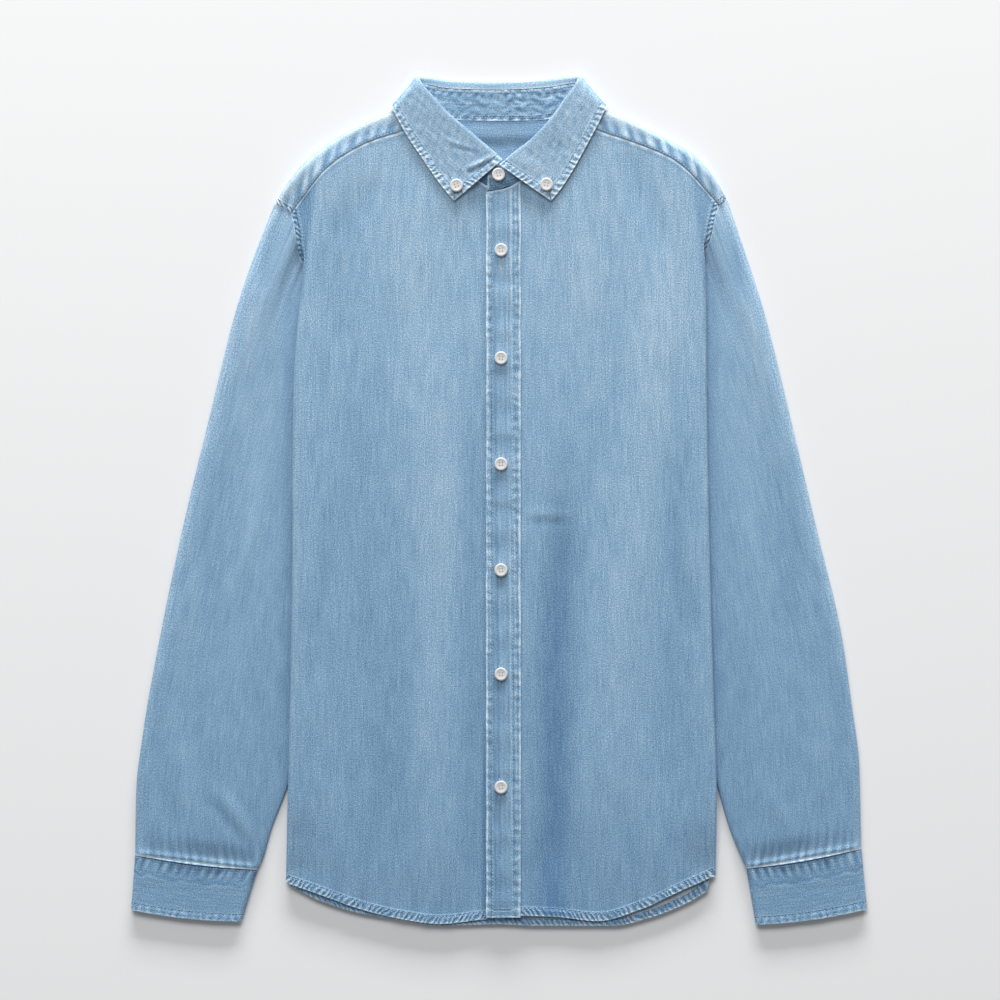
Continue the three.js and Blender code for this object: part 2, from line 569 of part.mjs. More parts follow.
// ---- buttons: a rimmed disc with a shallow well
function buttonGeometry() {
  const { radius, height, rim, well } = BUTTON;
  const profile = [
    [0, 0], [radius - rim, 0], [radius, rim], [radius, height - rim], [radius - rim, height],
    [well + rim, height], [well, height - rim], [0, height - rim],
  ].map(([r, z]) => new THREE.Vector2(r, z));
  return new THREE.LatheGeometry(profile, 14).rotateX(Math.PI / 2);
}

// ---- the shirt
const shirt = new THREE.Group();

function addPiece(name, geometry, color = DENIM, roughness = 0.9) {
  const material = new THREE.MeshStandardMaterial({ color, roughness, metalness: 0 });
  const mesh = new THREE.Mesh(geometry, material);
  mesh.name = name;
  shirt.add(mesh);
  return mesh;
}

addPiece('front_right', wall(fronts.right));
addPiece('front_left', wall(fronts.left));
addPiece('back', wall(backGrid()));
addPiece('yoke', wall(yokeGrid()));
addPiece('yoke_facing', wall(yokeFacingGrid()));
addPiece('sleeve_right', sleeveTube('right'));
addPiece('sleeve_left', sleeveTube('left'));
addPiece('cuff_right', cuffTube(SIDES.right));
addPiece('cuff_left', cuffTube(SIDES.left));
addPiece('placket', wall(placketGrid()));
addPiece('collar_stand', wall(standGrid()));
addPiece('collar_leaf', wall(leafGrid()));

const BUTTONS = [
  { name: 'button_stand', x: -0.9, y: 299.9, seat: 11.2 },
  { name: 'button_collar_right', x: -39.6, y: 289.8, seat: 11.9 },
  { name: 'button_collar_left', x: 43.2, y: 290.7, seat: 11.9 },
  ...[230.5, 131.1, 33.6, -63.9, -159.6, -263.6].map((y, i) => ({
    name: `button_front_${i + 1}`,
    x: 1.4,
    y,
    seat: frontHeight(SIDES.left, 1.4, y) + PLY + 0.25 + CLOTH / 2 + 0.3,
  })),
];
for (const { name, x, y, seat } of BUTTONS) {
  addPiece(name, buttonGeometry(), 0xd8d6d0, 0.4).position.set(x, y, seat);
}

export default shirt;
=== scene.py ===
"""A long-sleeved button-down denim shirt, laid face up with its sleeves drawn down beside the body."""

import math

import bpy
import numpy as np
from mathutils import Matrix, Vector


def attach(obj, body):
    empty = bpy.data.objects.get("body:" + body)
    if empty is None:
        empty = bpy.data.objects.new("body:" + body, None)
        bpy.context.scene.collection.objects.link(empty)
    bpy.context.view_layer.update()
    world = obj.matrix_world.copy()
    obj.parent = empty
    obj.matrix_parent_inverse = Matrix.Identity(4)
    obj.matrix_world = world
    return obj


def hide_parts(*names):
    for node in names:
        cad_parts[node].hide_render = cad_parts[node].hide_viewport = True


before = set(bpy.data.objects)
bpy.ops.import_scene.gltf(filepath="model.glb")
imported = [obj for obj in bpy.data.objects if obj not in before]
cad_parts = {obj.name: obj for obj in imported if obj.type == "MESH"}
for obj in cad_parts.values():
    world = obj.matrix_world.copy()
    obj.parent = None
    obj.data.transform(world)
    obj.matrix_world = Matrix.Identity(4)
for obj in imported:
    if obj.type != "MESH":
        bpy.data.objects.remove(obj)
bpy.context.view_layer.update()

# ---- The view: straight down on the shirt, from far enough away that nothing leans.
scene = bpy.context.scene
scene.view_settings.view_transform = "Standard"
WIDE = 0.92
HIGH_UP = 5.0
lens = bpy.data.cameras.new("overhead")
lens.lens = lens.sensor_width * HIGH_UP / WIDE
lens.clip_end = 30
camera = bpy.data.objects.new("overhead", lens)
camera.location = (0.0005, 0.0005, HIGH_UP + 0.008)
scene.collection.objects.link(camera)
scene.camera = camera


# ---- The light: a broad soft panel beyond the collar, a second one low down that draws the soft shadows
# under the hem and the cuffs, and an even pale surround.
def panel(name, place, size, power):
    lamp = bpy.data.lights.new(name, "AREA")
    lamp.shape = "RECTANGLE"
    lamp.size, lamp.size_y = size
    lamp.energy = power
    lit = bpy.data.objects.new(name, lamp)
    lit.location = place
    lit.rotation_euler = (-Vector(place)).to_track_quat("-Z", "Y").to_euler()
    scene.collection.objects.link(lit)


panel("overhead_panel", (-1.0, 4.0, 5.0), (4.6, 2.6), 212)
panel("low_panel", (0.3, 6.6, 1.45), (5.0, 1.2), 800)
surround = bpy.data.worlds.new("surround")
surround.use_nodes = True
surround.node_tree.nodes["Background"].inputs["Color"].default_value = (0.95, 0.97, 1, 1)
surround.node_tree.nodes["Background"].inputs["Strength"].default_value = 0.245
scene.world = surround


# ---- The table: a smooth near-white board, far wider than what shows.
def plain(name, colour, roughness):
    material = bpy.data.materials.new(name)
    material.use_nodes = True
    shader = material.node_tree.nodes["Principled BSDF"]
    shader.inputs["Base Color"].default_value = (*colour, 1)
    shader.inputs["Roughness"].default_value = roughness
    return material


board = bpy.data.meshes.new("board")
board.from_pydata([(-3, -3, 0), (3, -3, 0), (3, 3, 0), (-3, 3, 0)], [], [(0, 1, 2, 3)])
board.materials.append(plain("board_white", (0.88, 0.88, 0.88), 0.9))
table = bpy.data.objects.new("board", board)
scene.collection.objects.link(table)


# ---- Denim: light-washed cotton twill, pale yarns over indigo ones. The face is mottled and streaked along
# the warp. Beside each finished edge it is roped, worn white on the very edge and dark along the stitching.
class Shade:
    """A number that changes over a surface."""

    def __init__(self, tree, socket):
        self.tree = tree
        self.socket = socket

    def math(self, operation, *others):
        node = self.tree.nodes.new("ShaderNodeMath")
        node.operation = operation
        for place, value in enumerate((self, *others)):
            if isinstance(value, Shade):
                self.tree.links.new(value.socket, node.inputs[place])
            else:
                node.inputs[place].default_value = value
        return Shade(self.tree, node.outputs[0])

    def __add__(self, other):
        return self.math("ADD", other)

    def __sub__(self, other):
        return self.math("SUBTRACT", other)

    def __rsub__(self, other):
        return self.math("MULTIPLY", -1) + other

    def __mul__(self, other):
        return self.math("MULTIPLY", other)

    def __abs__(self):
        return self.math("ABSOLUTE")

    def rise(self, start, end):
        settings = {"interpolation_type": "SMOOTHSTEP"}
        inputs = {"Value": self, "From Min": start, "From Max": end}
        return add_node(self.tree, "ShaderNodeMapRange", settings, inputs, "Result")

    __radd__ = __add__
    __rmul__ = __mul__


def add_node(tree, kind, settings, inputs, output):
    node = tree.nodes.new(kind)
    for name, value in settings.items():
        if name == "stops":
            stops = node.color_ramp.elements
            stops[0].color, stops[1].color = value[0], value[2]
            stops.new(0.5).color = value[1]
        else:
            setattr(node, name, value)
    for name, value in inputs.items():
        if isinstance(value, Shade):
            tree.links.new(value.socket, node.inputs[name])
        else:
            node.inputs[name].default_value = value
    return Shade(tree, node.outputs[output])


INDIGO = (0.085, 0.19, 0.345, 1)
WASHED = (0.262, 0.432, 0.60, 1)
WORN = (0.66, 0.79, 0.88, 1)
WRONG_SIDE = (0.47, 0.55, 0.62, 1)


def denim(name, tone=0.44, band=6.3, roping=0.42, period=5.4, slant=0.9, white=0.3, inside=False):
    material = bpy.data.materials.new(name)
    material.use_nodes = True
    tree = material.node_tree
    flat = add_node(tree, "ShaderNodeUVMap", {"uv_map": "cloth"}, {}, "UV")

    def noise(across, along, detail=2.0, shift=0.0):
        scaled = add_node(
            tree, "ShaderNodeVectorMath", {"operation": "MULTIPLY_ADD"},
            {0: flat, 1: (across, along, 1), 2: (shift, shift, shift)}, "Vector",
        )
        inputs = {"Vector": scaled, "Scale": 1.0, "Detail": detail}
        return add_node(tree, "ShaderNodeTexNoise", {}, inputs, "Fac") - 0.5

    def measure(name):
        settings = {"attribute_type": "GEOMETRY", "attribute_name": name}
        return add_node(tree, "ShaderNodeAttribute", settings, {}, "Fac")

    # The cloth's per-point lightening and darkening carries its own fading and wear together with painted
    # shade and light.
    edge, run, fade = measure("edge"), measure("run"), measure("fade")
    grain = noise(1050, 850)
    streak = noise(900, 34, 3.0, 7.0)
    slub = noise(260, 9, 2.0, 3.0)
    cloud = noise(70, 44, 2.0, 11.0)
    patch = noise(17, 8, 2.0, 5.0)
    wave = ((run + edge * slant) * (2 * math.pi / period) + cloud * 16 + patch * 20).math("SINE")
    wave = wave * (cloud * 3 + 0.95) + noise(300, 300, 1.0, 9.0) * 1.6
    in_band = (edge + 0.6).rise(0, 1) * (1 - edge.rise(band - 0.6, band + 1.6))
    worn = (1 - edge.rise(0.7, 2.1)) * (0.8 + cloud * 2.2)
    groove = 1 - abs(edge - band).rise(0.25, 1.1)
    beside = 1 - abs(edge - band - 1.7).rise(0.3, 1.3)
    shade = tone + fade + grain * 1.6 + streak * 0.5 + slub * 0.12 + cloud * 0.16 + patch * 0.09
    shade = shade + (wave * 0.7 + grain * 1.3 + cloud) * in_band * roping + worn * white
    shade = shade - groove * (roping * 0.9) + beside * (roping * 0.35)
    washes = {"stops": (INDIGO, WASHED, WORN)}
    colour = add_node(tree, "ShaderNodeValToRGB", washes, {"Fac": shade}, "Color")
    if inside:
        shown = 1 - edge.rise(band - 0.2, band + 0.5)
        bright = 0.9 + grain * 0.7 + streak * 0.4
        settings = {"data_type": "RGBA", "blend_type": "MULTIPLY"}
        pale = add_node(tree, "ShaderNodeMix", settings, {0: 1.0, 6: WRONG_SIDE, 7: bright}, 2)
        colour = add_node(tree, "ShaderNodeMix", {"data_type": "RGBA"}, {0: shown, 6: pale, 7: colour}, 2)
    height = grain * 0.2 + streak * 0.12 + wave * in_band * (roping * 0.9) - groove * 0.35
    inputs = {"Height": height, "Strength": 1.0, "Distance": 0.001}
    bump = add_node(tree, "ShaderNodeBump", {}, inputs, "Normal")
    shader = tree.nodes["Principled BSDF"]
    shader.inputs["Roughness"].default_value = 0.93
    shader.inputs["Specular IOR Level"].default_value = 0.2
    shader.inputs["Sheen Weight"].default_value = 0.12
    tree.links.new(colour.socket, shader.inputs["Base Color"])
    tree.links.new(bump.socket, shader.inputs["Normal"])
    return material


# ---- The wearer's right front: one cut of denim, hemmed at the bottom. It lies flat to the body's side,
# turns under there and runs on beneath to the side seam. The other front's band covers its centre edge.
CLOTH = 1.2  # millimetres, as are all lengths from here on
PLY = CLOTH + 0.35
FLOOR = CLOTH / 2
FOLD_RADIUS = 3.0
HEM_DEPTH = 7.4
ARMHOLE_FOOT = 195
SIDE_SEAM_FOOT = -344
HIDDEN_SLEEVE = 3.9  # how much the sleeve tucked below the body raises it
HALF_TALL = 390
AWAY = 60  # counts as well inside every edge


def follow(keys, values, at):
    """A smooth curve through the values, held at its ends."""
    keys, values, at = (np.asarray(a, float) for a in (keys, values, at))
    if keys[0] > keys[-1]:
        keys, values = keys[::-1], values[::-1]
    spread = (1,) * (values.ndim - 1)
    gap = np.diff(keys)
    slope = np.diff(values, axis=0) / gap.reshape(-1, *spread)
    tangent = np.zeros_like(values)
    tangent[0], tangent[-1] = slope[0], slope[-1]
    before, after = slope[:-1], slope[1:]
    total = np.where(before * after > 0, before + after, 1)
    tangent[1:-1] = np.where(before * after > 0, 2 * before * after / total, 0)
    place = np.clip(np.searchsorted(keys, at) - 1, 0, len(keys) - 2)
    t = np.clip((at - keys[place]) / gap[place], 0, 1)
    t = t.reshape(t.shape + spread)
    step = gap[place].reshape(at.shape + spread)
    start, end = values[place], values[place + 1]
    pull = (t**3 - 2 * t**2 + t) * tangent[place] + (t**3 - t**2) * tangent[place + 1]
    return start + (end - start) * (3 - 2 * t) * t**2 + pull * step


def smooth(t):
    t = np.clip(t, 0, 1)
    return t * t * (3 - 2 * t)


def lerp(a, b, t):
    return a + (b - a) * t


def bell(distance, width):
    return np.exp(-((distance / width) ** 2))


def uneven(at, spacing, seed):
    """An irregular wave between -1 and 1, with crests about a spacing apart."""
    at = np.asarray(at, float)
    low, high = at.min() - 3 * spacing, at.max() + 3 * spacing
    chance = np.random.default_rng(seed)
    count = int((high - low) / spacing * 2) + 4
    knots = low + (np.arange(count) + chance.uniform(-0.3, 0.3, count)) * spacing / 2
    signs = np.where(np.arange(count) % 2, 1, -1)
    return follow(knots, signs * chance.uniform(0.25, 1, count), at)


def crease(x, y, start, end, width, depth):
    """A soft trough or ridge along a line, dying out towards both ends."""
    (x0, y0), (x1, y1) = start, end
    length = math.hypot(x1 - x0, y1 - y0)
    along = ((x - x0) * (x1 - x0) + (y - y0) * (y1 - y0)) / length**2
    off = ((x - x0) * (y1 - y0) - (y - y0) * (x1 - x0)) / length
    return depth * bell(off, width) * np.sin(np.pi * np.clip(along, 0, 1)) ** 0.7


def build(name, vertices, faces, corners, materials, second, shades):
    mesh = bpy.data.meshes.new(name)
    mesh.vertices.add(len(vertices))
    mesh.vertices.foreach_set("co", (vertices * 0.001).astype(np.float32).ravel())
    mesh.loops.add(faces.size)
    mesh.loops.foreach_set("vertex_index", faces.astype(np.int32).ravel())
    mesh.polygons.add(len(faces))
    mesh.polygons.foreach_set("loop_start", np.arange(0, faces.size, 4, dtype=np.int32))
    for material in materials:
        mesh.materials.append(material)
    mesh.polygons.foreach_set("material_index", second.astype(np.int32))
    mesh.update(calc_edges=True)
    mesh.polygons.foreach_set("use_smooth", np.ones(len(faces), bool))
    mesh.set_sharp_from_angle(angle=math.radians(52))
    layer = mesh.uv_layers.new(name="cloth")
    layer.uv.foreach_set("vector", (corners * 0.001).astype(np.float32).ravel())
    for key, values in shades.items():
        kept = mesh.attributes.new(key, "FLOAT", "POINT")
        kept.data.foreach_set("value", values.astype(np.float32).ravel())
    mesh.validate()
    return mesh


def place(name, mesh, node=None, slot="denim"):
    piece = bpy.data.objects.new(name, mesh)
    scene.collection.objects.link(piece)
    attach(piece, "root")
    if node:
        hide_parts(node)
    return piece


def normals(middle, wrap=False):
    around = np.concatenate([middle[:, -1:], middle, middle[:, :1]], 1) if wrap else middle
    across = np.gradient(around, axis=1)
    across = across[:, 1:-1] if wrap else across
    normal = np.cross(across, np.gradient(middle, axis=0))
    return normal / np.maximum(np.linalg.norm(normal, axis=2, keepdims=True), 1e-9)


def cloth(name, middle, flat, edge, run, fade, materials, mirrored=False, wrap=False):
    """A closed thin wall of cloth round a grid of middle points. flat is where each point lies in the cut."""
    if mirrored:
        middle, flat, edge, run, fade = (a[::-1] for a in (middle, flat, edge, run, fade))
    rows, columns = middle.shape[:2]
    half = normals(middle, wrap) * CLOTH / 2
    vertices = np.concatenate([(middle + half).reshape(-1, 3), (middle - half).reshape(-1, 3)])
    wide = flat.shape[1]
    i, j = np.meshgrid(np.arange(rows - 1), np.arange(columns - (0 if wrap else 1)), indexing="ij")
    cells = [(i, j), (i, j + 1), (i + 1, j + 1), (i + 1, j)]
    points = np.stack([a * columns + b % columns for a, b in cells], -1).reshape(-1, 4)
    spots = np.stack([a * wide + b for a, b in cells], -1).reshape(-1, 4)
    under = rows * columns
    faces = [points, points[:, ::-1] + under]
    places = [spots, spots[:, ::-1]]
    j = j[0]
    rims = [((0 * j, j), (0 * j, j + 1)), ((0 * j + rows - 1, j + 1), (0 * j + rows - 1, j))]
    if not wrap:
        i = np.arange(rows - 1)
        rims += [((i + 1, 0 * i), (i, 0 * i)), ((i, 0 * i + columns - 1), (i + 1, 0 * i + columns - 1))]
    for (ai, aj), (bi, bj) in rims:
        a, b = ai * columns + aj % columns, bi * columns + bj % columns
        faces.append(np.stack([b, a, a + under, b + under], -1))
        a, b = ai * wide + aj, bi * wide + bj
        places.append(np.stack([b, a, a, b], -1))
    second = np.zeros(sum(len(f) for f in faces), int)
    second[len(points): 2 * len(points)] = 1
    corners = flat.reshape(-1, 2)[np.concatenate(places)].reshape(-1, 2)
    shades = {k: np.concatenate([v.ravel(), v.ravel()]) for k, v in
              {"edge": edge, "run": run, "fade": fade}.items()}
    return build(name, vertices, np.concatenate(faces), corners, materials, second, shades)


# Each side's outlines as it lies. Heights run up the shirt; distances out are from its middle. The fold and
# both rims of the sleeve give a height, then a distance out; the others a distance out, then a height. Each
# armhole row gives the fold's height, how far the cloth goes on from there, the seam's height and the turn.
SIDES = {
    "right": {
        "sign": -1, "under": 1,
        "fold": ((-349, 196.6), (-276, 195), (-92, 191.4), (92, 190), (150, 187), (194, 182.6), (230, 179),
                 (263, 175), (296, 171.6)),
        "armhole": ((60, 85.4, 60, 180), (72, 77, 72, 180), (95, 59, 95, 180), (130, 38, 130, 180),
                    (170, 19, 170, 180), (200, 9.6, 202, 170), (216.7, 5, 221, 90), (230.5, 8.2, 240, 22),
                    (247, 12.9, 265, 12), (264.5, 20, 296, 12)),
        "yoke_seam": ((76, 342.5), (96, 337.3), (119, 330), (142, 318), (155, 308.5), (165, 299)),
        "shoulder": ((88, 363), (99.8, 358), (119, 350), (147, 335), (174, 316), (192, 296.5),
                     (206.5, 273.7)),
        "hem": ((-20, -383), (19, -386), (54.7, -389.6), (91.5, -385), (128, -376), (165, -362.8),
                (183, -356.5), (194, -352.5)),
        "sleeve_out": ((273.7, 206.5), (230, 224), (175, 242.4), (83, 265.4), (-27, 292), (-138, 315),
                       (-212, 328), (-267, 334.5), (-326.4, 335.5)),
        "sleeve_in": ((60, 108), (-100, 152), (-262, 194.6), (-303, 210), (-331.7, 218.5), (-339.8, 223)),
        "cuff": ((335.5, -326.9), (223, -340.4), (339.2, -376.8), (237.6, -387.6)),
    },
    "left": {
        "sign": 1, "under": 0,
        "fold": ((-349, 199), (-276, 200), (-184, 197.3), (-92, 194.6), (92, 190.9), (203, 190), (221, 189),
                 (240, 187.2), (272, 183.5), (300, 180.8)),
        "armhole": ((60, 85.4, 60, 180), (72, 77, 72, 180), (95, 59, 95, 180), (130, 40, 130, 180),
                    (170, 22, 170, 180), (208, 9.6, 208, 170), (227, 5, 230, 90), (240, 8.2, 250, 22),
                    (256.2, 14.1, 275, 12), (271.9, 21, 300, 12)),
        "yoke_seam": ((76, 343.5), (101.7, 336.3), (129.3, 327), (156.9, 315.1), (172, 304)),
        "shoulder": ((88, 363), (99, 358.5), (120, 350), (148, 335.5), (175, 321), (194, 302),
                     (209.3, 277.4)),
        "hem": ((-13, -385), (18, -382), (50, -383), (91, -387), (129, -376.5), (166, -359.5), (194, -347),
                (197, -345.5)),
        "sleeve_out": ((277.4, 209.3), (230, 225.4), (175, 243), (83, 266), (-27, 292), (-119, 314),
                       (-193, 325), (-240, 331), (-320.5, 333)),
        "sleeve_in": ((60, 108), (-100, 154), (-262, 200), (-303, 212), (-331.7, 224), (-338.7, 227.3)),
        "cuff": ((333.2, -321), (227.3, -339.2), (338.4, -376.3), (236.1, -390.7)),
    },
}
NECKLINE = ((-12, 284), (4.5, 287), (18.9, 293.9), (40, 311), (61, 328))
HEM_Y = -388
SEAM_ROWS = tuple(
    (y, lerp(11, 85.4, (y - SIDE_SEAM_FOOT) / 404), fold_y, 180)
    for y, fold_y in ((SIDE_SEAM_FOOT, -347), (-310, -312), (-270, -271), (-215, -215), (-150, -150),
                      (-80, -80), (-20, -20), (25, 25))
)
# The big soft folds of the fronts: where, lean, width, depth, and between which heights each one runs.
FOLDS = ((56, 0.02, 17, -3.9, -470, 60), (-62, -0.02, 26, 1.1, -390, 200), (-26, 0, 12, -1.5, -400, 130),
         (128, 0.12, 24, 1.2, -330, 330), (-130, -0.1, 28, -1.0, -360, 330), (92, 0.03, 14, 0.5, -360, -60),
         (-96, -0.05, 15, -0.7, -330, 60), (165, 0.02, 13, -0.7, -300, 150))


def column(rows, key, value, at):
    return follow([row[key] for row in rows], [row[value] for row in rows], at)


def fold_at(side, y):
    return column(side["fold"], 0, 1, y)


def lift(side, q, y):
    """How far the sleeve hidden below raises the cloth."""
    reach = column(side["armhole"], 0, 1, y)
    bend = np.minimum(FOLD_RADIUS * (math.pi - 2), reach)
    tucked = y <= side["sleeve_in"][0][0]
    edge = np.where(tucked, column(side["sleeve_in"], 0, 1, y), fold_at(side, y) - reach + bend)
    return HIDDEN_SLEEVE * (1 - smooth((edge - 5 - q) / 25))


def fold_shape(x, y):
    shape = 0
    for at, tilt, width, depth, low, high in FOLDS:
        here = depth * bell(x - at - tilt * y, width)
        shape = shape + here * smooth((y - low) / 90) * smooth((high - y) / 130)
    return shape


def front_height(side, q, y):
    x = side["sign"] * q
    fold = fold_at(side, y)
    shape = fold_shape(x, y)
    edge = FLOOR + 2 * FOLD_RADIUS + lift(side, fold, y)
    hem = 6.2 + 1.4 * bell(x, 30)
    opened = lerp(lerp(7.2 + shape, hem, smooth((HEM_Y + 72 - y) / 72)), 7.4, smooth((y - 225) / 75))
    middle = opened - side["under"] * PLY * smooth((x + 40) / 24)
    return lerp(middle, edge, smooth((q - fold + 46) / 38))


def body_point(side, q, y, fold_y, turn):
    """Flat to the fold; what is beyond goes round it and under the body."""
    start = fold_at(side, fold_y) - CLOTH / 2 - FOLD_RADIUS
    past = np.maximum(q - start, 0)
    top = front_height(side, start, fold_y)
    angle = np.minimum(past / FOLD_RADIUS, turn)
    rest = past - FOLD_RADIUS * angle
    at = start + FOLD_RADIUS * np.sin(angle) + rest * np.cos(turn)
    bent = top - FOLD_RADIUS * (1 - np.cos(angle)) - rest * np.sin(turn)
    laid = FLOOR + lift(side, at, y)
    share = np.where(turn > 3.1, np.clip(past / FOLD_RADIUS / math.pi, 0, 1), 0)
    turned = q > start
    x = np.where(turned, at, q)
    z = np.where(turned, lerp(bent, laid, share**4), front_height(side, q, y))
    return np.stack([side["sign"] * x, y, z], -1)


def front(name, side, wrinkles, seed):
    rows = (*SEAM_ROWS, *side["armhole"])
    first, last = rows[0][2], rows[-1][2]
    tall = last - first
    v = [np.arange(0, 13, 1.3), np.arange(13, tall - 15, 3.7), np.linspace(tall - 15, tall, 10)]
    v = (np.concatenate(v) / tall)[:, None]
    fold_y = lerp(first, last, v)
    row_y, reach, turn = (column(rows, 2, k, fold_y) for k in (0, 1, 3))
    turn = np.radians(turn)
    start = fold_at(side, fold_y) - CLOTH / 2 - FOLD_RADIUS
    share = np.linspace(0, 1, 78)[None, :]
    top = (*NECKLINE, *side["yoke_seam"])
    from_q = top[0][0]
    top_shares = [(p[0] - from_q) / (start[-1, 0] - from_q) for p in top] + [1]
    top_y = follow(top_shares, [p[1] for p in top] + [last - 1], share)
    q = lerp(from_q, start, share)
    hem_y = column(side["hem"], 0, 1, q)
    rise = lerp(hem_y, top_y, v)
    level = lerp(lerp(HEM_Y, first, share), lerp(300, last, share), v)
    y = lerp(level, rise, np.abs(2 * v - 1) ** 2.5)
    round_fold = np.minimum(math.pi * FOLD_RADIUS, reach * 0.7)
    full = reach + FOLD_RADIUS + CLOTH / 2
    bend = np.linspace(0, 1, 9)[None, 1:] * round_fold
    beyond = round_fold + np.linspace(0, 1, 14)[None, 1:] * (full - round_fold)
    past = np.concatenate([bend, beyond], 1)
    q = np.concatenate([q, start + past], 1)
    y = np.concatenate([y, lerp(y[:, -1:], row_y, past / full)], 1)
    middle = body_point(side, q, y, fold_y, turn)
    x, flat_part = middle[..., 0], smooth((start + 2 - q) / 14)
    to_hem = (y - y[:1]) * 0.97
    to_yoke = (y[-1:] - y) * 0.93
    to_armhole = np.where(fold_y > ARMHOLE_FOOT, start + full - q, AWAY)
    detail = sum(crease(x, y, *w) for w in wrinkles)
    detail = detail + 0.32 * uneven(x + 0.12 * y, 46, seed) * uneven(y - 0.1 * x, 110, seed + 1)
    detail = detail + 0.2 * uneven(x - 0.05 * y, 17, seed + 2) * uneven(y, 70, seed + 3)
    detail = detail + 0.12 * uneven(x + 0.03 * y, 7, seed + 5) * uneven(y, 45, seed + 6)
    detail = detail * smooth(to_hem / 30) * smooth(to_yoke / 12)
    detail = detail + 0.5 * uneven(q, 23, seed + 4) * bell(to_hem, 16)
    detail = detail + 0.7 * smooth((HEM_DEPTH - to_hem) / 0.9)
    under_band = smooth((20 - x) / 3) if side["sign"] > 0 else smooth((x + 9) / 3)
    middle[..., 2] += detail * flat_part * (1 - 0.9 * under_band)
    # Painted light: the fronts are lighter towards the collar and darker towards the hem, as the light falls
    # from above. The broad folds and the wrinkles are lighter on their crests from wear, and darker in their
    # troughs as painted shade.
    fade = 0.12 * y / HALF_TALL + 0.065 * fold_shape(x, y) * flat_part
    fade = fade + 0.1 * detail * smooth(to_hem / 12) * flat_part
    streaks = uneven(q + 0.12 * y, 13, seed + 7) * uneven(y - 0.2 * q, 90, seed + 8)
    fade = fade + 0.07 * streaks * smooth((y - 20) / 150) * flat_part
    fade = fade + 0.9 * bell(to_yoke, 1.3) - 0.16 * bell(to_yoke - 3.2, 1.5)
    fade = fade + 0.05 * bell(q - start - 2, 3.5) * smooth((150 - y) / 80)
    # A painted shadow: a dark line on the wearer's right front just beside the edge of the button band lying
    # over it, stronger towards the hem.
    band_shadow = bell(x + 13.4, 1.7) * (0.06 + 0.26 * smooth((-150 - y) / 150))
    fade = fade - band_shadow * (side["sign"] < 0)
    # Painted shade in the hollow by the shoulder between the body's fold and the armhole seam: on the
    # wearer's right along the strip by the seam, and on both fronts over the cloth past the fold.
    boundary = 177 - 0.1 * (y - 223)
    valley_shade = smooth((q - boundary) / 2.5) * smooth((y - 200) / 30) * (side["sign"] < 0)
    fade = fade - 0.12 * valley_shade
    fade = fade - 0.17 * smooth((q - start + 1) / 3) * smooth((y - 170) / 40) * (q > start - 20)
    fade = fade + 0.14 * bell(to_armhole - 2.5, 2.5)
    edge = np.clip(np.minimum(to_hem, to_armhole + 3.2), 0, AWAY)
    run = np.where(to_hem < to_armhole, q, y)
    made = cloth(name, middle, np.stack([q, y], -1), edge, run, fade, (FACE, INSIDE), side["sign"] < 0)
    return made, middle, to_hem, to_armhole


FACE = denim("denim_face", roping=0.36, period=4.7, slant=0.65, white=0.42)
INSIDE = denim("denim_inside", roping=0.36, period=4.7, slant=0.65, white=0.42, inside=True)
RIGHT_WRINKLES = (
    ((-114, 298), (-148, 236), 12, -0.9), ((-70, 300), (-92, 170), 16, 0.6),
    ((-17, 290), (-14, 250), 3, -0.5), ((-60, -150), (-92, -300), 10, 0.6),
    ((-150, 20), (-176, -180), 9, -0.6), ((-30, 90), (-58, -60), 13, 0.5),
    ((-140, 150), (-166, 60), 8, 0.5), ((-110, -230), (-120, -340), 8, -0.5),
)
right_mesh, right_middle, right_hem, right_armhole = front(
    "front_right_cloth", SIDES["right"], RIGHT_WRINKLES, 11)
front_right = place("front_right_cloth", right_mesh, "front_right")


# ---- The wearer's left front: the same cut mirrored, lying over the other one at the centre.
LEFT_WRINKLES = (
    ((115, 322), (153, 225), 11, -1.0), ((19, -12), (70, -14), 4, 0.6), ((22, -19), (66, -20), 4, -0.5),
    ((70, 290), (88, 160), 15, 0.6), ((100, -140), (84, -300), 9, -0.6), ((150, 40), (172, -120), 9, -0.6),
    ((36, 60), (48, -60), 9, 0.5), ((130, -200), (140, -330), 9, 0.5), ((40, -230), (34, -340), 6, 0.5),
)
left_mesh, left_middle, left_hem, left_armhole = front(
    "front_left_cloth", SIDES["left"], LEFT_WRINKLES, 31)
front_left = place("front_left_cloth", left_mesh, "front_left")


# ---- The back: one wide cut below everything, face down on the table, seamed to the fronts' turned edges.
# Its pale wrong side and its turned-up hem show a little below the fronts' hem.
def refine(coarse, rows, columns):
    """The grid with smooth curves through it, at the given shares of its length both ways."""
    down = np.linalg.norm(np.diff(coarse, axis=0), axis=2).mean(1)
    keys = np.concatenate([[0], np.cumsum(down)])
    fine = follow(keys / keys[-1], coarse, rows)
    across = np.linalg.norm(np.diff(coarse, axis=1), axis=2).mean(0)
    keys = np.concatenate([[0], np.cumsum(across)])
    return follow(keys / keys[-1], fine.swapaxes(0, 1), columns).swapaxes(0, 1)


def lengths(middle, axis):
    """How far each point is along its own row or column, in the cloth."""
    steps = np.linalg.norm(np.diff(middle, axis=axis), axis=2)
    run = np.cumsum(steps, axis=axis)
    return np.concatenate([np.zeros_like(np.take(run, [0], axis)), run], axis)


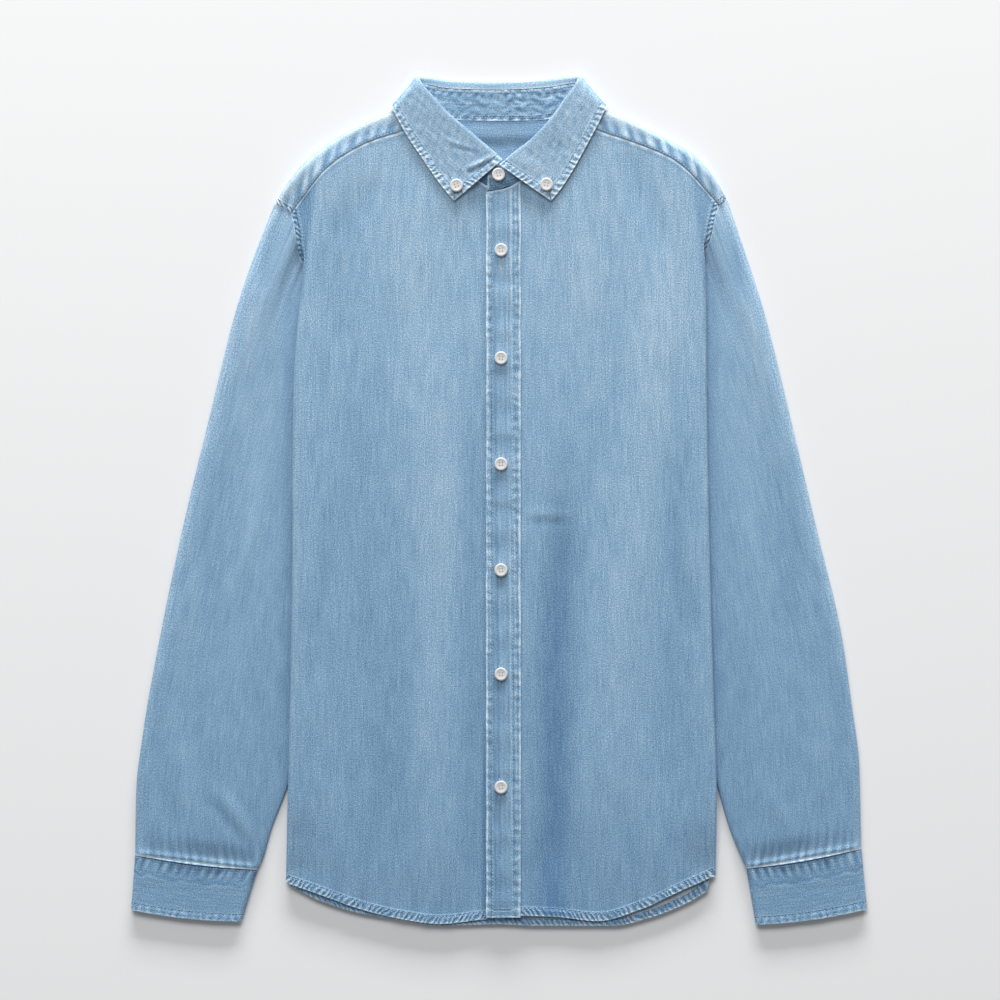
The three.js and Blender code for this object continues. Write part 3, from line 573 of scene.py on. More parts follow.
BACK_HEM_DEPTH = 7.2
BACK_TOP = 260
BACK_HEM = ((-192, -355), (-165, -368.6), (-128, -380), (-91.5, -386), (-54.7, -391.2), (0, -390),
            (33, -391.5), (104.4, -391.5), (138.5, -384), (175, -369.4), (192, -359))
right_rim = right_middle[:, -1]
left_rim = left_middle[:, -1]
up = np.linspace(SIDE_SEAM_FOOT, BACK_TOP, 110)
up = np.concatenate([SIDE_SEAM_FOOT + np.array([0, 1.3, 2.6, 3.9, 5.2, 6.5, 7.6, 9]), up[3:]])
corner = 8.5 * smooth((-335 - up) / 9)[:, None]
start_x = follow(right_rim[:, 1], right_rim[:, 0], up)[:, None] + 0.3 - corner
end_x = follow(left_rim[:, 1], left_rim[:, 0], up)[:, None] - 0.3 + corner * 0.5
t = np.linspace(0, 1, 110)[None, :]
x = lerp(start_x, end_x, t)
drop = column(BACK_HEM, 0, 1, x) - SIDE_SEAM_FOOT
share = (up[:, None] - SIDE_SEAM_FOOT) / (BACK_TOP - SIDE_SEAM_FOOT)
y = up[:, None] + np.where((t == 0) | (t == 1), 0, drop * (1 - share) ** 6)
raised = np.where(x < 0, lift(SIDES["right"], -x, y), lift(SIDES["left"], x, y)) * (1 - smooth((y - 15) / 40))
to_hem = y - y[:1]
z = FLOOR + raised + 0.6 * smooth((BACK_HEM_DEPTH - to_hem) / 0.9) + 3.4 * smooth((45 - to_hem) / 45)
back_middle = np.stack([x, y, z], -1)
back_to_hem = to_hem
back_mesh = cloth("back_cloth", back_middle, back_middle[..., :2], np.clip(to_hem, 0, AWAY), x,
                  0 * x - 0.1, (INSIDE, FACE))
back = place("back_cloth", back_mesh, "back")


# ---- The yoke: a shaped double cut over the shoulders, seamed to the back behind and to the fronts before.
# It folds over along the shoulders; its front strip is puckered where the seam has been washed and drawn up.
NECK_HALF = 88


def back_seam_y(x):
    return lerp(BACK_TOP, BACK_TOP + 2, (x + 200) / 400) + 0.35


def back_neck_y(x):
    return 349.4 + 13 * np.abs(x / NECK_HALF) ** 3.5


def yoke_back_z(x, y):
    leaf_edge = 341 + 20 * np.abs(x / 98) ** 2.5
    return FLOOR + 2.1 * smooth((y - leaf_edge + 16) / 12)


def shoulder_row(side, head, fold_q, foot_x, share):
    head = np.array(head, float)
    way = side["sign"]
    fold_y = column(side["shoulder"], 0, 1, fold_q)
    low = yoke_back_z(fold_q, fold_y - 6)
    radius = (max(head[2], low + 3) - low) / 2
    out = np.array([way * fold_q - head[0], fold_y - head[1], 0])
    out = out / np.linalg.norm(out)
    centre = np.array([way * fold_q, fold_y, low + radius]) - out * (radius + CLOTH / 2)
    angles = np.radians([-90, -67, -45, -22, 0, 22, 45, 67, 90])
    arc = [centre + out * radius * math.cos(a) + np.array([0, 0, radius * math.sin(a)]) for a in angles]
    foot = np.array([foot_x, back_seam_y(foot_x), FLOOR])
    middle = lerp(lerp(foot, arc[0], 0.5), np.array([head[0] - way * 0.2, head[1], FLOOR]), share**6)
    middle[2] = yoke_back_z(middle[0], middle[1])
    return [foot, middle, *arc, head + out * 0.35]


def neck_row(x, turned=False):
    shares = np.array([0, 0.4, 0.6, 0.72, 0.76, 0.8, 0.84, 0.88, 0.92, 0.96, 0.98, 1])
    if turned:
        at = np.sign(x) * lerp(71, 87.4, shares)
        y = lerp(back_seam_y(at), 361.5, shares)
        z = yoke_back_z(NECK_HALF, y) + 1.9 * smooth((shares - 0.86) / 0.14)
    else:
        at = x * lerp(0.82, 1, shares)
        y = lerp(back_seam_y(at), back_neck_y(x) - 0.35, shares)
        z = yoke_back_z(x, y)
    return list(np.stack([at, y, z], -1))


def yoke_half(side, middle):
    way = side["sign"]
    heads = middle[-1]
    tip_q = side["shoulder"][-1][0]
    rows = []
    last_x = abs(heads[-1][0])
    for q in np.linspace(last_x, 76, 14):
        row = np.abs(heads[:, 0])
        head = [way * q, float(follow(row, heads[:, 1], q)), float(follow(row, heads[:, 2], q))]
        share = (q - 76) / (last_x - 76)
        fold_q, foot_x = lerp(88.5, tip_q - 0.4, share), lerp(76 * way, way * 180, share)
        rows.append(shoulder_row(side, head, fold_q, foot_x, share))
    rows.append(shoulder_row(side, [way * 82, 352.8, 7.2], 88.8, way * 73, 0))
    rows.append(neck_row(way * NECK_HALF, turned=True))
    return rows + [neck_row(way * q) for q in (84, 70, 52, 35, 18)]


halves = [yoke_half(SIDES["right"], right_middle), yoke_half(SIDES["left"], left_middle)]
coarse = np.array([*halves[0], neck_row(0), *halves[1][::-1]])
shares = np.concatenate([np.linspace(0, 0.7, 14), np.linspace(0.72, 1, 26)])
middle = refine(coarse, np.linspace(0, 1, 330), shares)
sideways, from_foot = lengths(middle, 0), lengths(middle, 1)
to_seam = from_foot[:, -1:] - from_foot
x = middle[..., 0]
outer = smooth((np.abs(x) - 78) / 8)
end = np.minimum(sideways, sideways[-1:] - sideways)
puckers = uneven(x * 1.05 + to_seam * 0.35 * np.sign(x), 13, 51) * (0.4 + 0.6 * np.abs(uneven(x, 31, 52)))
puckers = np.tanh(2.4 * puckers) * smooth(to_seam / 1.5) * bell(to_seam - 4, 7.5) * outer
middle[..., 2] += 0.75 * puckers + 0.6 * bell(to_seam - 3, 3) * outer - 0.5 * bell(to_seam, 1) * outer
fade = 0.2 + 0.36 * puckers - 0.15 * bell(to_seam - 5, 7)
fade = fade + (0.16 * bell(to_seam - 19, 6) - 0.28 * bell(to_seam - 0.6, 1.1)) * outer
fade = fade + 0.14 * bell(end - 2.5, 2.5)
edge = np.where(np.abs(x) > 150, np.clip(end + 3.2, 0, AWAY), AWAY)
flat = np.stack([sideways, from_foot], -1)
YOKE_FACE = denim("denim_yoke", tone=0.46)
# Painted shade: the steep walls where the yoke turns over the shoulders are darkened against the low lamp.
fade = fade - 0.45 * smooth((0.75 - np.abs(normals(middle)[..., 2])) / 0.5)
yoke_mesh = cloth("yoke_cloth", middle, flat, edge, from_foot, fade * outer, (YOKE_FACE, FACE))
yoke = place("yoke_cloth", yoke_mesh, "yoke")
yoke_middle, yoke_seam_distance = middle, to_seam


# ---- The yoke's inner ply: the same cut again, its face showing inside the neck, darker and less worn.
across = np.linspace(-66, 66, 60)[:, None]
up = np.linspace(0, 1, 60)[None, :]
y = lerp(262, back_neck_y(across) - 1, up)
x = across + 0 * y
z = yoke_back_z(x, y) + PLY + 0.4
to_seam = y[:, -1:] - y
z = z + 0.25 * uneven(x + 0.4 * y, 26, 61) * uneven(y, 30, 62) * smooth(to_seam / 6)
fade = -0.03 - 0.3 * bell(to_seam, 1.8) + 0 * x
FACING = denim("denim_facing", tone=0.44, roping=0.0, white=0.0)
facing_mesh = cloth("yoke_facing_cloth", np.stack([x, y, z], -1), np.stack([y, x], -1), 0 * x + AWAY, x, fade,
                    (FACING, FACING), mirrored=True)
facing = place("yoke_facing_cloth", facing_mesh, "yoke_facing")


# ---- The sleeves: each a tube of denim, flattened where it lies, with its under edge hidden below the body.
# Soft lengthwise creases run down from the shoulder; the cloth is drawn up into small puckers at the cuff.
SLEEVE_LENGTH = 600
EDGE_ROUND = 5.0


def closed_loop(top, under, fade):
    """One ring of cloth from its upper and under halves. Only the upper half carries the wear and the painted
    shade and light.
    """
    ring = np.concatenate([top, under[:, ::-1][:, 1:-1]], 1)
    untouched = np.zeros((len(ring), ring.shape[1] - fade.shape[1]))
    return ring, np.concatenate([fade, untouched], 1)


def rounded(t):
    return np.sqrt(1 - (1 - np.clip(t, 0, 1)) ** 2)


def sleeve(name, side, body, wrinkles, seed, node):
    way = side["sign"]
    tip = side["shoulder"][-1]
    fronts = body[:, -1]
    hidden = [fronts[np.argmin(np.abs(fronts[:, 1] - row[0]))] for row in side["armhole"]][::-1]
    path = np.array([[way * tip[0], tip[1], 4.0], *hidden]) + [way * 0.45, -0.1, 0]
    path_k = np.concatenate([[0], np.cumsum(np.linalg.norm(np.diff(path[:, :2], axis=0), axis=1))])
    path_k = path_k / path_k[-1]
    t = [[0, 1.2, 2.6, 4.2, 6, 8, 10.5], np.linspace(14, 570, 142), SLEEVE_LENGTH - np.arange(27, -1, -1.5)]
    t = (np.concatenate(t) / SLEEVE_LENGTH)[:, None]

    def rim(table, t):
        y = lerp(table[0][0], table[-1][0], t)
        return np.stack([way * column(table, 0, 1, y), y + 0 * t], -1)

    def plan(k, t):
        out, into = rim(side["sleeve_out"], t), rim(side["sleeve_in"], t)
        out0, into0 = rim(side["sleeve_out"], 0 * t), rim(side["sleeve_in"], 0 * t)
        at = follow(path_k, path[:, :2], k)
        k, t = k[..., None], t[..., None]
        return lerp(out, into, k) + (1 - t) * (at - lerp(out0, into0, k))

    def section(share):
        ends = plan(np.zeros_like(t), t) - plan(np.ones_like(t), t)
        width = np.linalg.norm(ends, axis=-1)
        k = lerp(0.6 / width, 1 - 0.6 / width, share[None, :])
        xy = plan(k, t + 0 * k)
        x, y = xy[..., 0], xy[..., 1] - 2.3 * np.sin(np.pi * k) * smooth((t - 0.8) / 0.2)
        q = np.abs(x)
        shown = smooth((q - fold_at(side, y) - 11) / 24)
        free = lerp(3.6, 8.2 + 0.8 * np.sin(q * 0.045 + y * 0.012), shown)
        outer = rounded(k * (240 - 120 * t) / (3 * EDGE_ROUND))
        seam_top = follow(path_k, path[:, 2], k)
        turned = smooth((k - 0.16) / 0.08)
        at_seam = lerp(seam_top + 0.6, np.minimum(3.6, seam_top + 0.6 - PLY), turned)
        top = lerp(at_seam, lerp(3.6, free, 0.35 + 0.65 * outer), smooth(t / 0.14)) - 0.6
        near = np.minimum(share, 1 - share)[None, :] * width
        squash = rounded(near / EDGE_ROUND)
        half = (top - 0.6) / 2
        return k, x, y, 0.6 + half * (1 + squash), 0.6 + half * (1 - squash), shown, width

    share = np.concatenate([[0, 0.003, 0.009, 0.018], np.linspace(0.03, 0.97, 74), [0.982, 0.991, 0.997, 1]])
    k, x, y, high, _, shown, width = section(share)
    start, end = plan(k, 0 * k), plan(k, 0 * k + 1)
    to_head = np.hypot(x - start[..., 0], y - start[..., 1])
    to_cuff = np.hypot(x - end[..., 0], y - end[..., 1])
    run = k * width
    detail = sum(crease(x, y, *w) for w in wrinkles)
    detail = detail + 0.4 * uneven(run + 0.05 * to_cuff, 38, seed) * uneven(to_cuff, 120, seed + 1)
    detail = detail + 0.24 * uneven(run - 0.04 * to_cuff, 15, seed + 2) * uneven(to_cuff, 75, seed + 3)
    detail = detail + 0.12 * uneven(run + 0.03 * to_cuff, 7, seed + 7) * uneven(to_cuff, 50, seed + 8)
    pucker = uneven(run + 0.15 * to_cuff, 8.5, seed + 4) * (0.45 + 0.55 * np.abs(uneven(run, 27, seed + 5)))
    pucker = np.tanh(1.8 * pucker) * np.exp(-to_cuff / 10) * smooth((to_cuff + 0.5) / 2)
    head = uneven(run + 0.1 * to_head, 9, seed + 6) * np.exp(-to_head / 15) * smooth(to_head / 2)
    gather = pucker * 0.6 + head * 0.4
    seam_roll = 0.9 * bell(to_cuff - 2.6, 2.4) - 0.5 * bell(to_cuff, 1.2)
    flat_part = smooth(run / 9) * shown * smooth((width - run) / 9)
    high = lerp(high, np.minimum(high, 6.3), smooth((24 - to_cuff) / 22))
    high = high + (detail * smooth(to_cuff / 30) * smooth(to_head / 30) + gather + seam_roll) * flat_part
    # Painted light: the sleeves are lighter towards the shoulder and darker towards the cuff, as the light
    # falls from above. The wrinkles are lighter on their crests from wear, and darker in their troughs as
    # painted shade; the puckers at cuff and head are worn lighter.
    fade = 0.14 * y / HALF_TALL - 0.015 + 0.1 * detail * smooth(to_cuff / 30) + 0.34 * pucker + 0.24 * head
    fade = fade + 0.8 * bell(to_cuff, 1.35) + 0.10 * bell(to_cuff - 5, 5) + 0.4 * bell(to_head, 1.2)
    # A painted shadow on the sleeve beside the body's edge, and a painted highlight along the sleeve's outer
    # fold.
    body_edge_shadow = bell(np.abs(x) - fold_at(side, y) - 3, 9) * smooth((y + 300) / 150)
    fade = fade + 0.1 * bell(run, 6) - 0.09 * body_edge_shadow
    top = np.stack([x, y, high], -1)
    few = np.concatenate([[0, 0.009, 0.03], np.linspace(0.08, 0.92, 20), [0.97, 0.991, 1]])
    _, x, y, _, low, _, _ = section(few)
    middle, fade = closed_loop(top, np.stack([x, y, low], -1), fade)
    out = np.concatenate([run, width + (width - few[None, ::-1] * width)[:, 1:-1]], 1)
    out = np.concatenate([out, 2 * width], 1)
    down = t * SLEEVE_LENGTH + 0 * out
    edge = np.full(fade.shape, float(AWAY))
    made = cloth(name, middle, np.stack([out, down], -1), edge, out[:, :-1], fade, (FACE, FACE),
                 mirrored=way < 0, wrap=True)
    return place(name, made, node)


RIGHT_SLEEVE_WRINKLES = (
    ((-269, -274), (-229, -322), 5, -0.8), ((-262, -262), (-222, -312), 6, 0.6),
    ((-206, 262), (-218, 190), 7, -0.9), ((-214, 230), (-236, 110), 9, 0.7),
    ((-250, 60), (-262, -90), 11, -0.6), ((-300, -180), (-286, -290), 9, 0.6),
    ((-222, 40), (-240, -100), 8, 0.5), ((-280, -60), (-296, -200), 10, 0.5),
)
sleeve_right = sleeve(
    "sleeve_right_cloth", SIDES["right"], right_middle, RIGHT_SLEEVE_WRINKLES, 71, "sleeve_right")

LEFT_SLEEVE_WRINKLES = (
    ((212, 262), (224, 180), 8, -0.8), ((222, 200), (246, 80), 10, 0.6), ((252, 40), (270, -120), 11, -0.6),
    ((292, -160), (300, -280), 9, 0.6), ((228, 20), (244, -130), 8, 0.5), ((240, -250), (276, -316), 6, 0.5),
    ((318, -120), (322, -230), 8, -0.4),
)
sleeve_left = sleeve(
    "sleeve_left_cloth", SIDES["left"], left_middle, LEFT_SLEEVE_WRINKLES, 91, "sleeve_left")


# ---- The cuffs: stiffer double bands round the sleeve ends, topstitched along both edges. Washing has drawn
# the band under the seam into short dark tucks that end in a faint wavy crease.
CUFF_WIDTH, CUFF_DEPTH, CUFF_THICK = 110, 50, 6.4
CUFF_SEWING = (1.7, 44)
CUFF_FACE = denim("denim_cuff", tone=0.335, band=6.0, roping=0.2, period=8, slant=0.3, white=0.3)


def cuff(name, side, seed, node):
    out_top, in_top, out_end, in_end = (np.array(p) for p in side["cuff"])
    t = np.concatenate([np.linspace(0, 0.5, 20), np.linspace(0.53, 1, 16)])[:, None]

    def section(share):
        k = lerp(CLOTH / 2 / CUFF_WIDTH, 1 - CLOTH / 2 / CUFF_WIDTH, share[None, :])
        top_edge = lerp(out_top, in_top, k[..., None])
        end_edge = lerp(out_end, in_end, k[..., None])
        xy = lerp(top_edge, end_edge, t[..., None])
        near = np.minimum(share, 1 - share)[None, :] * CUFF_WIDTH
        squash = rounded(near / 4)
        half = (CUFF_THICK / 2 - CLOTH / 2) * squash + 0 * t
        y = xy[..., 1] - 2.5 * np.sin(np.pi * k) + 0.5 * (1 - t)
        return side["sign"] * xy[..., 0], y, CUFF_THICK / 2 + half, CUFF_THICK / 2 - half

    middle_shares = np.linspace(0.045, 0.955, 76)
    share = np.concatenate([[0, 0.006, 0.015, 0.028], middle_shares, [0.972, 0.985, 0.994, 1]])
    x, y, high, _ = section(share)
    down = t * CUFF_DEPTH + 0 * x
    run = share[None, :] * CUFF_WIDTH + 0 * x
    tuck = uneven(run + 0.2 * down, 8.5, seed) * (0.4 + 0.6 * np.abs(uneven(run, 30, seed + 1)))
    reach = 15 + 1.7 * uneven(run, 15, seed + 2)
    tuck = np.tanh(1.6 * tuck) * smooth(down / 2) * smooth((reach - down) / 7)
    ridge = bell(down - reach - 3, 1.8) * (0.5 + 0.5 * uneven(run, 33, seed + 3))
    roll = smooth((6.2 - (CUFF_DEPTH - down)) / 1.2)
    flat_part = smooth(run / 6) * smooth((CUFF_WIDTH - run) / 6)
    wave = 0.25 * uneven(run, 34, seed + 4) * smooth(down / 20)
    high = high + (0.6 * tuck + 0.38 * ridge + 0.35 * roll - 0.5 * bell(down, 1.3) + wave) * flat_part
    fade = 0.3 * tuck + 0.16 * ridge - 0.22 * bell(down - reach - 0.5, 1.8) - 0.3 * bell(down, 1.3)
    fade = fade - 0.05 * smooth((reach - down) / 5) + 0.06 * bell(run, 3)
    top = np.stack([x, y, high], -1)
    few = np.concatenate([[0, 0.015, 0.04], np.linspace(0.1, 0.9, 14), [0.96, 0.985, 1]])
    x, y, _, low = section(few)
    middle, fade = closed_loop(top, np.stack([x, y, low], -1), fade)
    back = CUFF_WIDTH + CUFF_WIDTH * (1 - few[None, ::-1])[:, 1:-1]
    out = np.concatenate([run, back + 0 * t, 2 * CUFF_WIDTH + 0 * t], 1)
    flat = np.stack([t * CUFF_DEPTH + 0 * out, out], -1)
    edge = CUFF_DEPTH - t * CUFF_DEPTH + 0 * fade
    made = cloth(name, middle, flat, edge, out[:, :-1], fade, (CUFF_FACE, CUFF_FACE),
                 mirrored=side["sign"] < 0, wrap=True)
    return place(name, made, node), top, down


cuff_right, right_cuff_top, cuff_down = cuff("cuff_right_cloth", SIDES["right"], 111, "cuff_right")
cuff_left, left_cuff_top, cuff_down = cuff("cuff_left_cloth", SIDES["left"], 121, "cuff_left")


# ---- The button band: a folded strip down the left front's edge, topstitched along both sides. The washing
# has worn its edges white and puckered the two narrow strips outside the stitching.
BAND_LEFT, BAND_RIGHT = -12.1, 19.5
LEFT_SEWING, RIGHT_SEWING = 5.6, 7.6
BAND_FACE = denim("denim_band", tone=0.40, band=5.5, roping=0.07, period=9.5, slant=0.15, white=0.5)
t = np.linspace(0, 1, 27)[None, :]
y = np.concatenate([-383.5 + np.arange(0, 9, 1.3), np.linspace(-374, 281.8, 350)])[:, None]
x = lerp(BAND_LEFT, BAND_RIGHT, t) + 0 * y
x = x + 0.35 * uneven(y, 60, 131) + 0 * x
y = y + 9.7 * t**2 * smooth((y - 262) / 20)
z = front_height(SIDES["left"], x, y) + PLY + 0.25
from_left, from_right = x - x[:, :1], x[:, -1:] - x
to_end = y - y[:1]
strip = bell(from_left - 2.7, 2.6), bell(from_right - 3.8, 3.2)
tucks = strip[0] * uneven(y + 0.3 * x, 10, 132) + strip[1] * uneven(y + 0.3 * x, 9.5, 133)
middle_wave = uneven(y, 31, 134) * smooth(from_left / 8) * smooth(from_right / 9)
z = z + 0.28 * tucks + 0.3 * middle_wave + 0.4 * strip[1] + 0.3 * strip[0]
z = z - 0.45 * bell(from_left - LEFT_SEWING, 0.9) - 0.45 * bell(from_right - RIGHT_SEWING, 0.9)
# Painted light: the band is lighter towards the collar and darker towards the hem, as the light falls from
# above.
fade = 0.1 * y / HALF_TALL + 0.14 * tucks + 0.04 * middle_wave + 0.22 * bell(from_right - 8.8, 0.8)
fade = fade + 0.05 * bell(from_left - 2.7, 3) + 0.05 * bell(from_right - 3.8, 3.5)
fade = fade - 0.1 * bell(from_left - 4.6, 1) - 0.12 * bell(from_right - 2.6, 1.1)
fade = fade + 0.15 * uneven(x + 0.01 * y, 4.5, 135) + 0.08 * uneven(x + 0.1 * y, 9, 137) * uneven(y, 25, 136)
fade = fade - 0.05 * bell(from_left - 8, 2.5) + 0.2 * bell(to_end - 7.5, 1)
edge = np.minimum(np.minimum(from_left, from_right * 0.73), to_end * 0.85)
band_mesh = cloth("placket_cloth", np.stack([x, y, z], -1), np.stack([x, y], -1), edge, y + 0 * x, fade,
                  (BAND_FACE, INSIDE))
band = place("placket_cloth", band_mesh, "placket")
band_middle, band_from_left, band_from_right = np.stack([x, y, z], -1), from_left, from_right


# ---- The collar stand: a shaped band from the neck seam up into the fold of the collar, crossing over under
# the top button. Inside the neck it is mottled with small puckers between its two seams.
# The rows across the collar: a point on its roll, one on its free edge, one on the neck seam, and its turn.
COLLAR = (
    ((-0.3, 308.8, 13.9), (47.4, 275.5, 9.7), (18.9, 294.4, 7.6), 0),
    ((15.5, 322, 13.6), (55.7, 285.7, 9.7), (31, 304.3, 7.6), 0),
    ((28.1, 331.7, 13.4), (65.5, 300.5, 9.7), (44, 315, 7.6), 0),
    ((46.5, 351, 13.4), (79, 324.5, 9.8), (65, 333, 7.6), 0),
    ((60.3, 370.3, 13), (90.5, 346, 10), (77.6, 351, 7.8), 0),
    ((70.5, 384.5, 12), (97.2, 359.4, 10.2), (83, 361, 7.6), 20),
    ((73.9, 391, 7.6), (98.8, 361.8, 5.8), (86, 366.5, 6.2), 90),
    ((67, 390.5, 2.2), (97, 360, 0.9), (80, 363.5, 4.4), 165),
    ((46.5, 388.6, 0.6), (56, 344.5, 0.6), (57, 353.2, 2.8), 180),
    ((22, 386.6, 0.6), (27, 341.5, 0.6), (28, 350, 2.6), 180),
    ((0, 386, 0.6), (0, 341, 0.6), (0, 349.8, 2.6), 180),
    ((-22, 386.2, 0.6), (-27, 341.5, 0.6), (-28, 350, 2.6), 180),
    ((-46.5, 387.2, 0.6), (-56, 344.5, 0.6), (-57, 353.2, 2.8), 180),
    ((-68, 389.8, 2.2), (-97.5, 360, 0.9), (-80, 363.5, 4.4), 165),
    ((-75.2, 390.6, 7.6), (-99.4, 361.8, 5.8), (-86, 366.5, 6.2), 90),
    ((-72, 385, 12), (-98, 359.4, 10.2), (-83, 361, 7.6), 20),
    ((-62.1, 373.1, 13), (-91.5, 347, 10), (-77.6, 351, 7.8), 0),
    ((-50.1, 359.3, 13.4), (-84, 334, 9.8), (-70, 338, 7.6), 0),
    ((-36.3, 347.3, 13.4), (-71.5, 315.5, 9.7), (-58, 326, 7.6), 0),
    ((-17.9, 331.7, 13.2), (-56, 293, 9.7), (-38, 309.8, 7.2), 0),
    ((3.2, 313.9, 12.7), (-41.9, 275.5, 9.7), (-18.9, 294.4, 6.4), 0),
)


def collar_frame(row):
    roll, edge = np.array(row[0], float), np.array(row[1], float)
    down = edge - roll
    flat = np.array([down[0], down[1], 0]) / math.hypot(down[0], down[1])
    sign = -1 if row[1][0] < 0 else 1
    outward = np.array([-flat[1] * sign, flat[0] * sign, 0])
    turn = math.radians(row[3])
    face = np.array([0, 0, math.cos(turn)]) + outward * math.sin(turn)
    return roll, down, flat, face


def stand_row(top, seam):
    top, seam = np.array(top, float), np.array(seam, float)
    return [top, lerp(top, seam, 0.25), lerp(top, seam, 0.5), lerp(top, seam, 0.75), seam]


rows = [stand_row((-10.6, 298.5, 9.9), (-11.4, 284.9, 8.3)), stand_row((-2.5, 305.5, 10.3), (-1, 286.8, 8.3))]
for row in COLLAR:
    roll, down, flat, face = collar_frame(row)
    rows.append(stand_row(roll + flat * 8.4 - face * 2.8, row[2]))
rows += [stand_row((5.5, 303.5, 8), (2, 287, 5.6)), stand_row((12, 297.5, 7.2), (11.8, 286.2, 5.4))]
middle = refine(np.array(rows), np.linspace(0, 1, 420), np.linspace(0, 1, 22))
run, down = lengths(middle, 0).mean(1, keepdims=True), lengths(middle, 1)
run = run + 0 * down
high = down[:, -1:] + 0 * down
behind = smooth((middle[..., 1] - 340) / 14)
puckers = uneven(run + 5 * uneven(down, 9, 144), 26, 141) * uneven(down + 3 * uneven(run, 19, 145), 9, 142)
beside_seams = bell(down - 3, 2.5) + bell(high - down - 4, 3.5)
puckers = 1.5 * puckers + uneven(run - 0.2 * down, 8, 143) * beside_seams
puckers = puckers * smooth(down / 2) * smooth((high - down) / 2)
middle = middle + normals(middle) * (puckers * 0.7 * behind)[..., None]
ends = np.minimum(run, run[-1:] - run)
edge = np.minimum(np.minimum(high - down, ends), AWAY)
fade = 0.22 * puckers + 0.02 + 0.4 * bell(high - down, 0.9) + 0.4 * bell(down, 1.1) - 0.1 * bell(down - 2, 1)
fade = fade * behind
fade = fade - (1 - behind) * (0.1 + 0.55 * bell(high - down - 0.6, 1.9) - 0.4 * bell(run, 1.2))
# Painted shade on the wearer's right end of the stand, where it runs under the crossing.
fade = fade - 0.42 * smooth((middle[..., 0] + 26) / 8) * (run > 400) * (middle[..., 0] < -11)
STAND_SEWING = 3.2
STAND_FACE = denim("denim_stand", tone=0.42, band=STAND_SEWING, roping=0.18, period=9, white=0.5)
stand_mesh = cloth("collar_stand_cloth", middle, np.stack([down, run], -1), edge, run, fade,
                   (STAND_FACE, STAND_FACE))
stand = place("collar_stand_cloth", stand_mesh, "collar_stand")
stand_middle, stand_down, stand_high = middle, down, high - down


# ---- The collar leaf: cut in two plies, turned out and topstitched all round, folded down over the stand.
# Its free edges are roped and worn white; a few short creases cross the point on the wearer's right.
rows = []
for row in COLLAR:
    roll, down, flat, face = collar_frame(row)
    inner = [roll + flat * 7.7 - face * 2.8, roll + flat * 2.6 - face * 2.6, roll + flat * 0.9 - face * 1.7,
             roll + flat * 0.25 - face * 0.7]
    rows.append(inner + [roll + down * t for t in (0.03, 0.25, 0.5, 0.75, 1)])
shares = np.concatenate([np.linspace(0, 0.2, 12), np.linspace(0.21, 0.86, 36), np.linspace(0.872, 1, 12)])
ends = np.concatenate([np.linspace(0, 0.022, 10), np.linspace(0.028, 0.972, 250), np.linspace(0.978, 1, 10)])
middle = refine(np.array(rows), ends, shares)
run, down = lengths(middle, 0), lengths(middle, 1)
x, y = middle[..., 0], middle[..., 1]
to_edge = down[:, -1:] - down


def from_line(x, y, row):
    (x0, y0, _), (x1, y1, _) = row[0], row[1]
    return np.abs((x - x0) * (y1 - y0) - (y - y0) * (x1 - x0)) / math.hypot(x1 - x0, y1 - y0)


to_point = np.where(y < 345, np.where(x > 0, from_line(x, y, COLLAR[0]), from_line(x, y, COLLAR[-1])), AWAY)
edge = np.minimum(to_edge, to_point)
along = np.where(to_edge < to_point, run[:, -1:], down)
over = smooth((down - 9) / 6) * smooth((middle[..., 2] - 3) / 3)
roped = bell(edge - 3.4, 2.6) * uneven(run[:, -1:] + down, 9, 151)
creases = crease(x, y, (-31, 304), (-3, 318), 1.7, 1.5) + crease(x, y, (-31, 301), (-4, 314), 1.8, -1.5)
creases = creases + crease(x, y, (-50, 333), (-22, 322), 1.8, 0.45)
creases = creases + crease(x, y, (-48, 326), (-18, 319), 2, -0.4)
creases = creases + crease(x, y, (14, 316), (40, 302), 6, 0.4) + crease(x, y, (38, 330), (62, 318), 7, -0.35)
soft = 0.3 * uneven(x + 0.5 * y, 27, 152) * uneven(y - 0.4 * x, 33, 153)
rise = (0.28 * roped + creases + soft + 0.55 * smooth((6.6 - edge) / 1.4)) * over
middle = middle + normals(middle) * rise[..., None]
# Colour follows the creases and soft undulations: lighter on their crests, partly from wear and partly as
# painted highlight, and darker in their troughs as painted shade. The roped edges are lighter where worn.
fade = 0.05 * over + 0.06 * roped * over + 0.2 * creases * over + 0.05 * soft * over
fade = fade + 0.1 * bell(down - 7.8, 2) + 0.25 * bell(down, 1.0)
mottle = uneven(x + 0.3 * y, 10, 154) * uneven(y - 0.3 * x, 13, 155)
# Painted shade: the steep walls of the collar's roll and turned edges are darkened against the low lamp.
steep_shade = smooth((0.75 - np.abs(normals(middle)[..., 2])) / 0.5)
fade = fade + (0.2 * mottle - 0.03 * smooth((edge - 8) / 6) - 0.4 * steep_shade) * over
fade = fade + 0.05 + 0.03 * smooth(x / 20)
COLLAR_SEWING = 6.0
LEAF_FACE = denim("denim_collar", tone=0.485, band=COLLAR_SEWING, roping=0.27, period=5.6, slant=0.1,
                  white=0.66)
leaf_mesh = cloth("collar_leaf_cloth", middle, np.stack([down, run], -1), edge, along, fade,
                  (LEAF_FACE, LEAF_FACE))
leaf = place("collar_leaf_cloth", leaf_mesh, "collar_leaf")
leaf_middle, leaf_to_edge, leaf_to_point = middle, to_edge, to_point


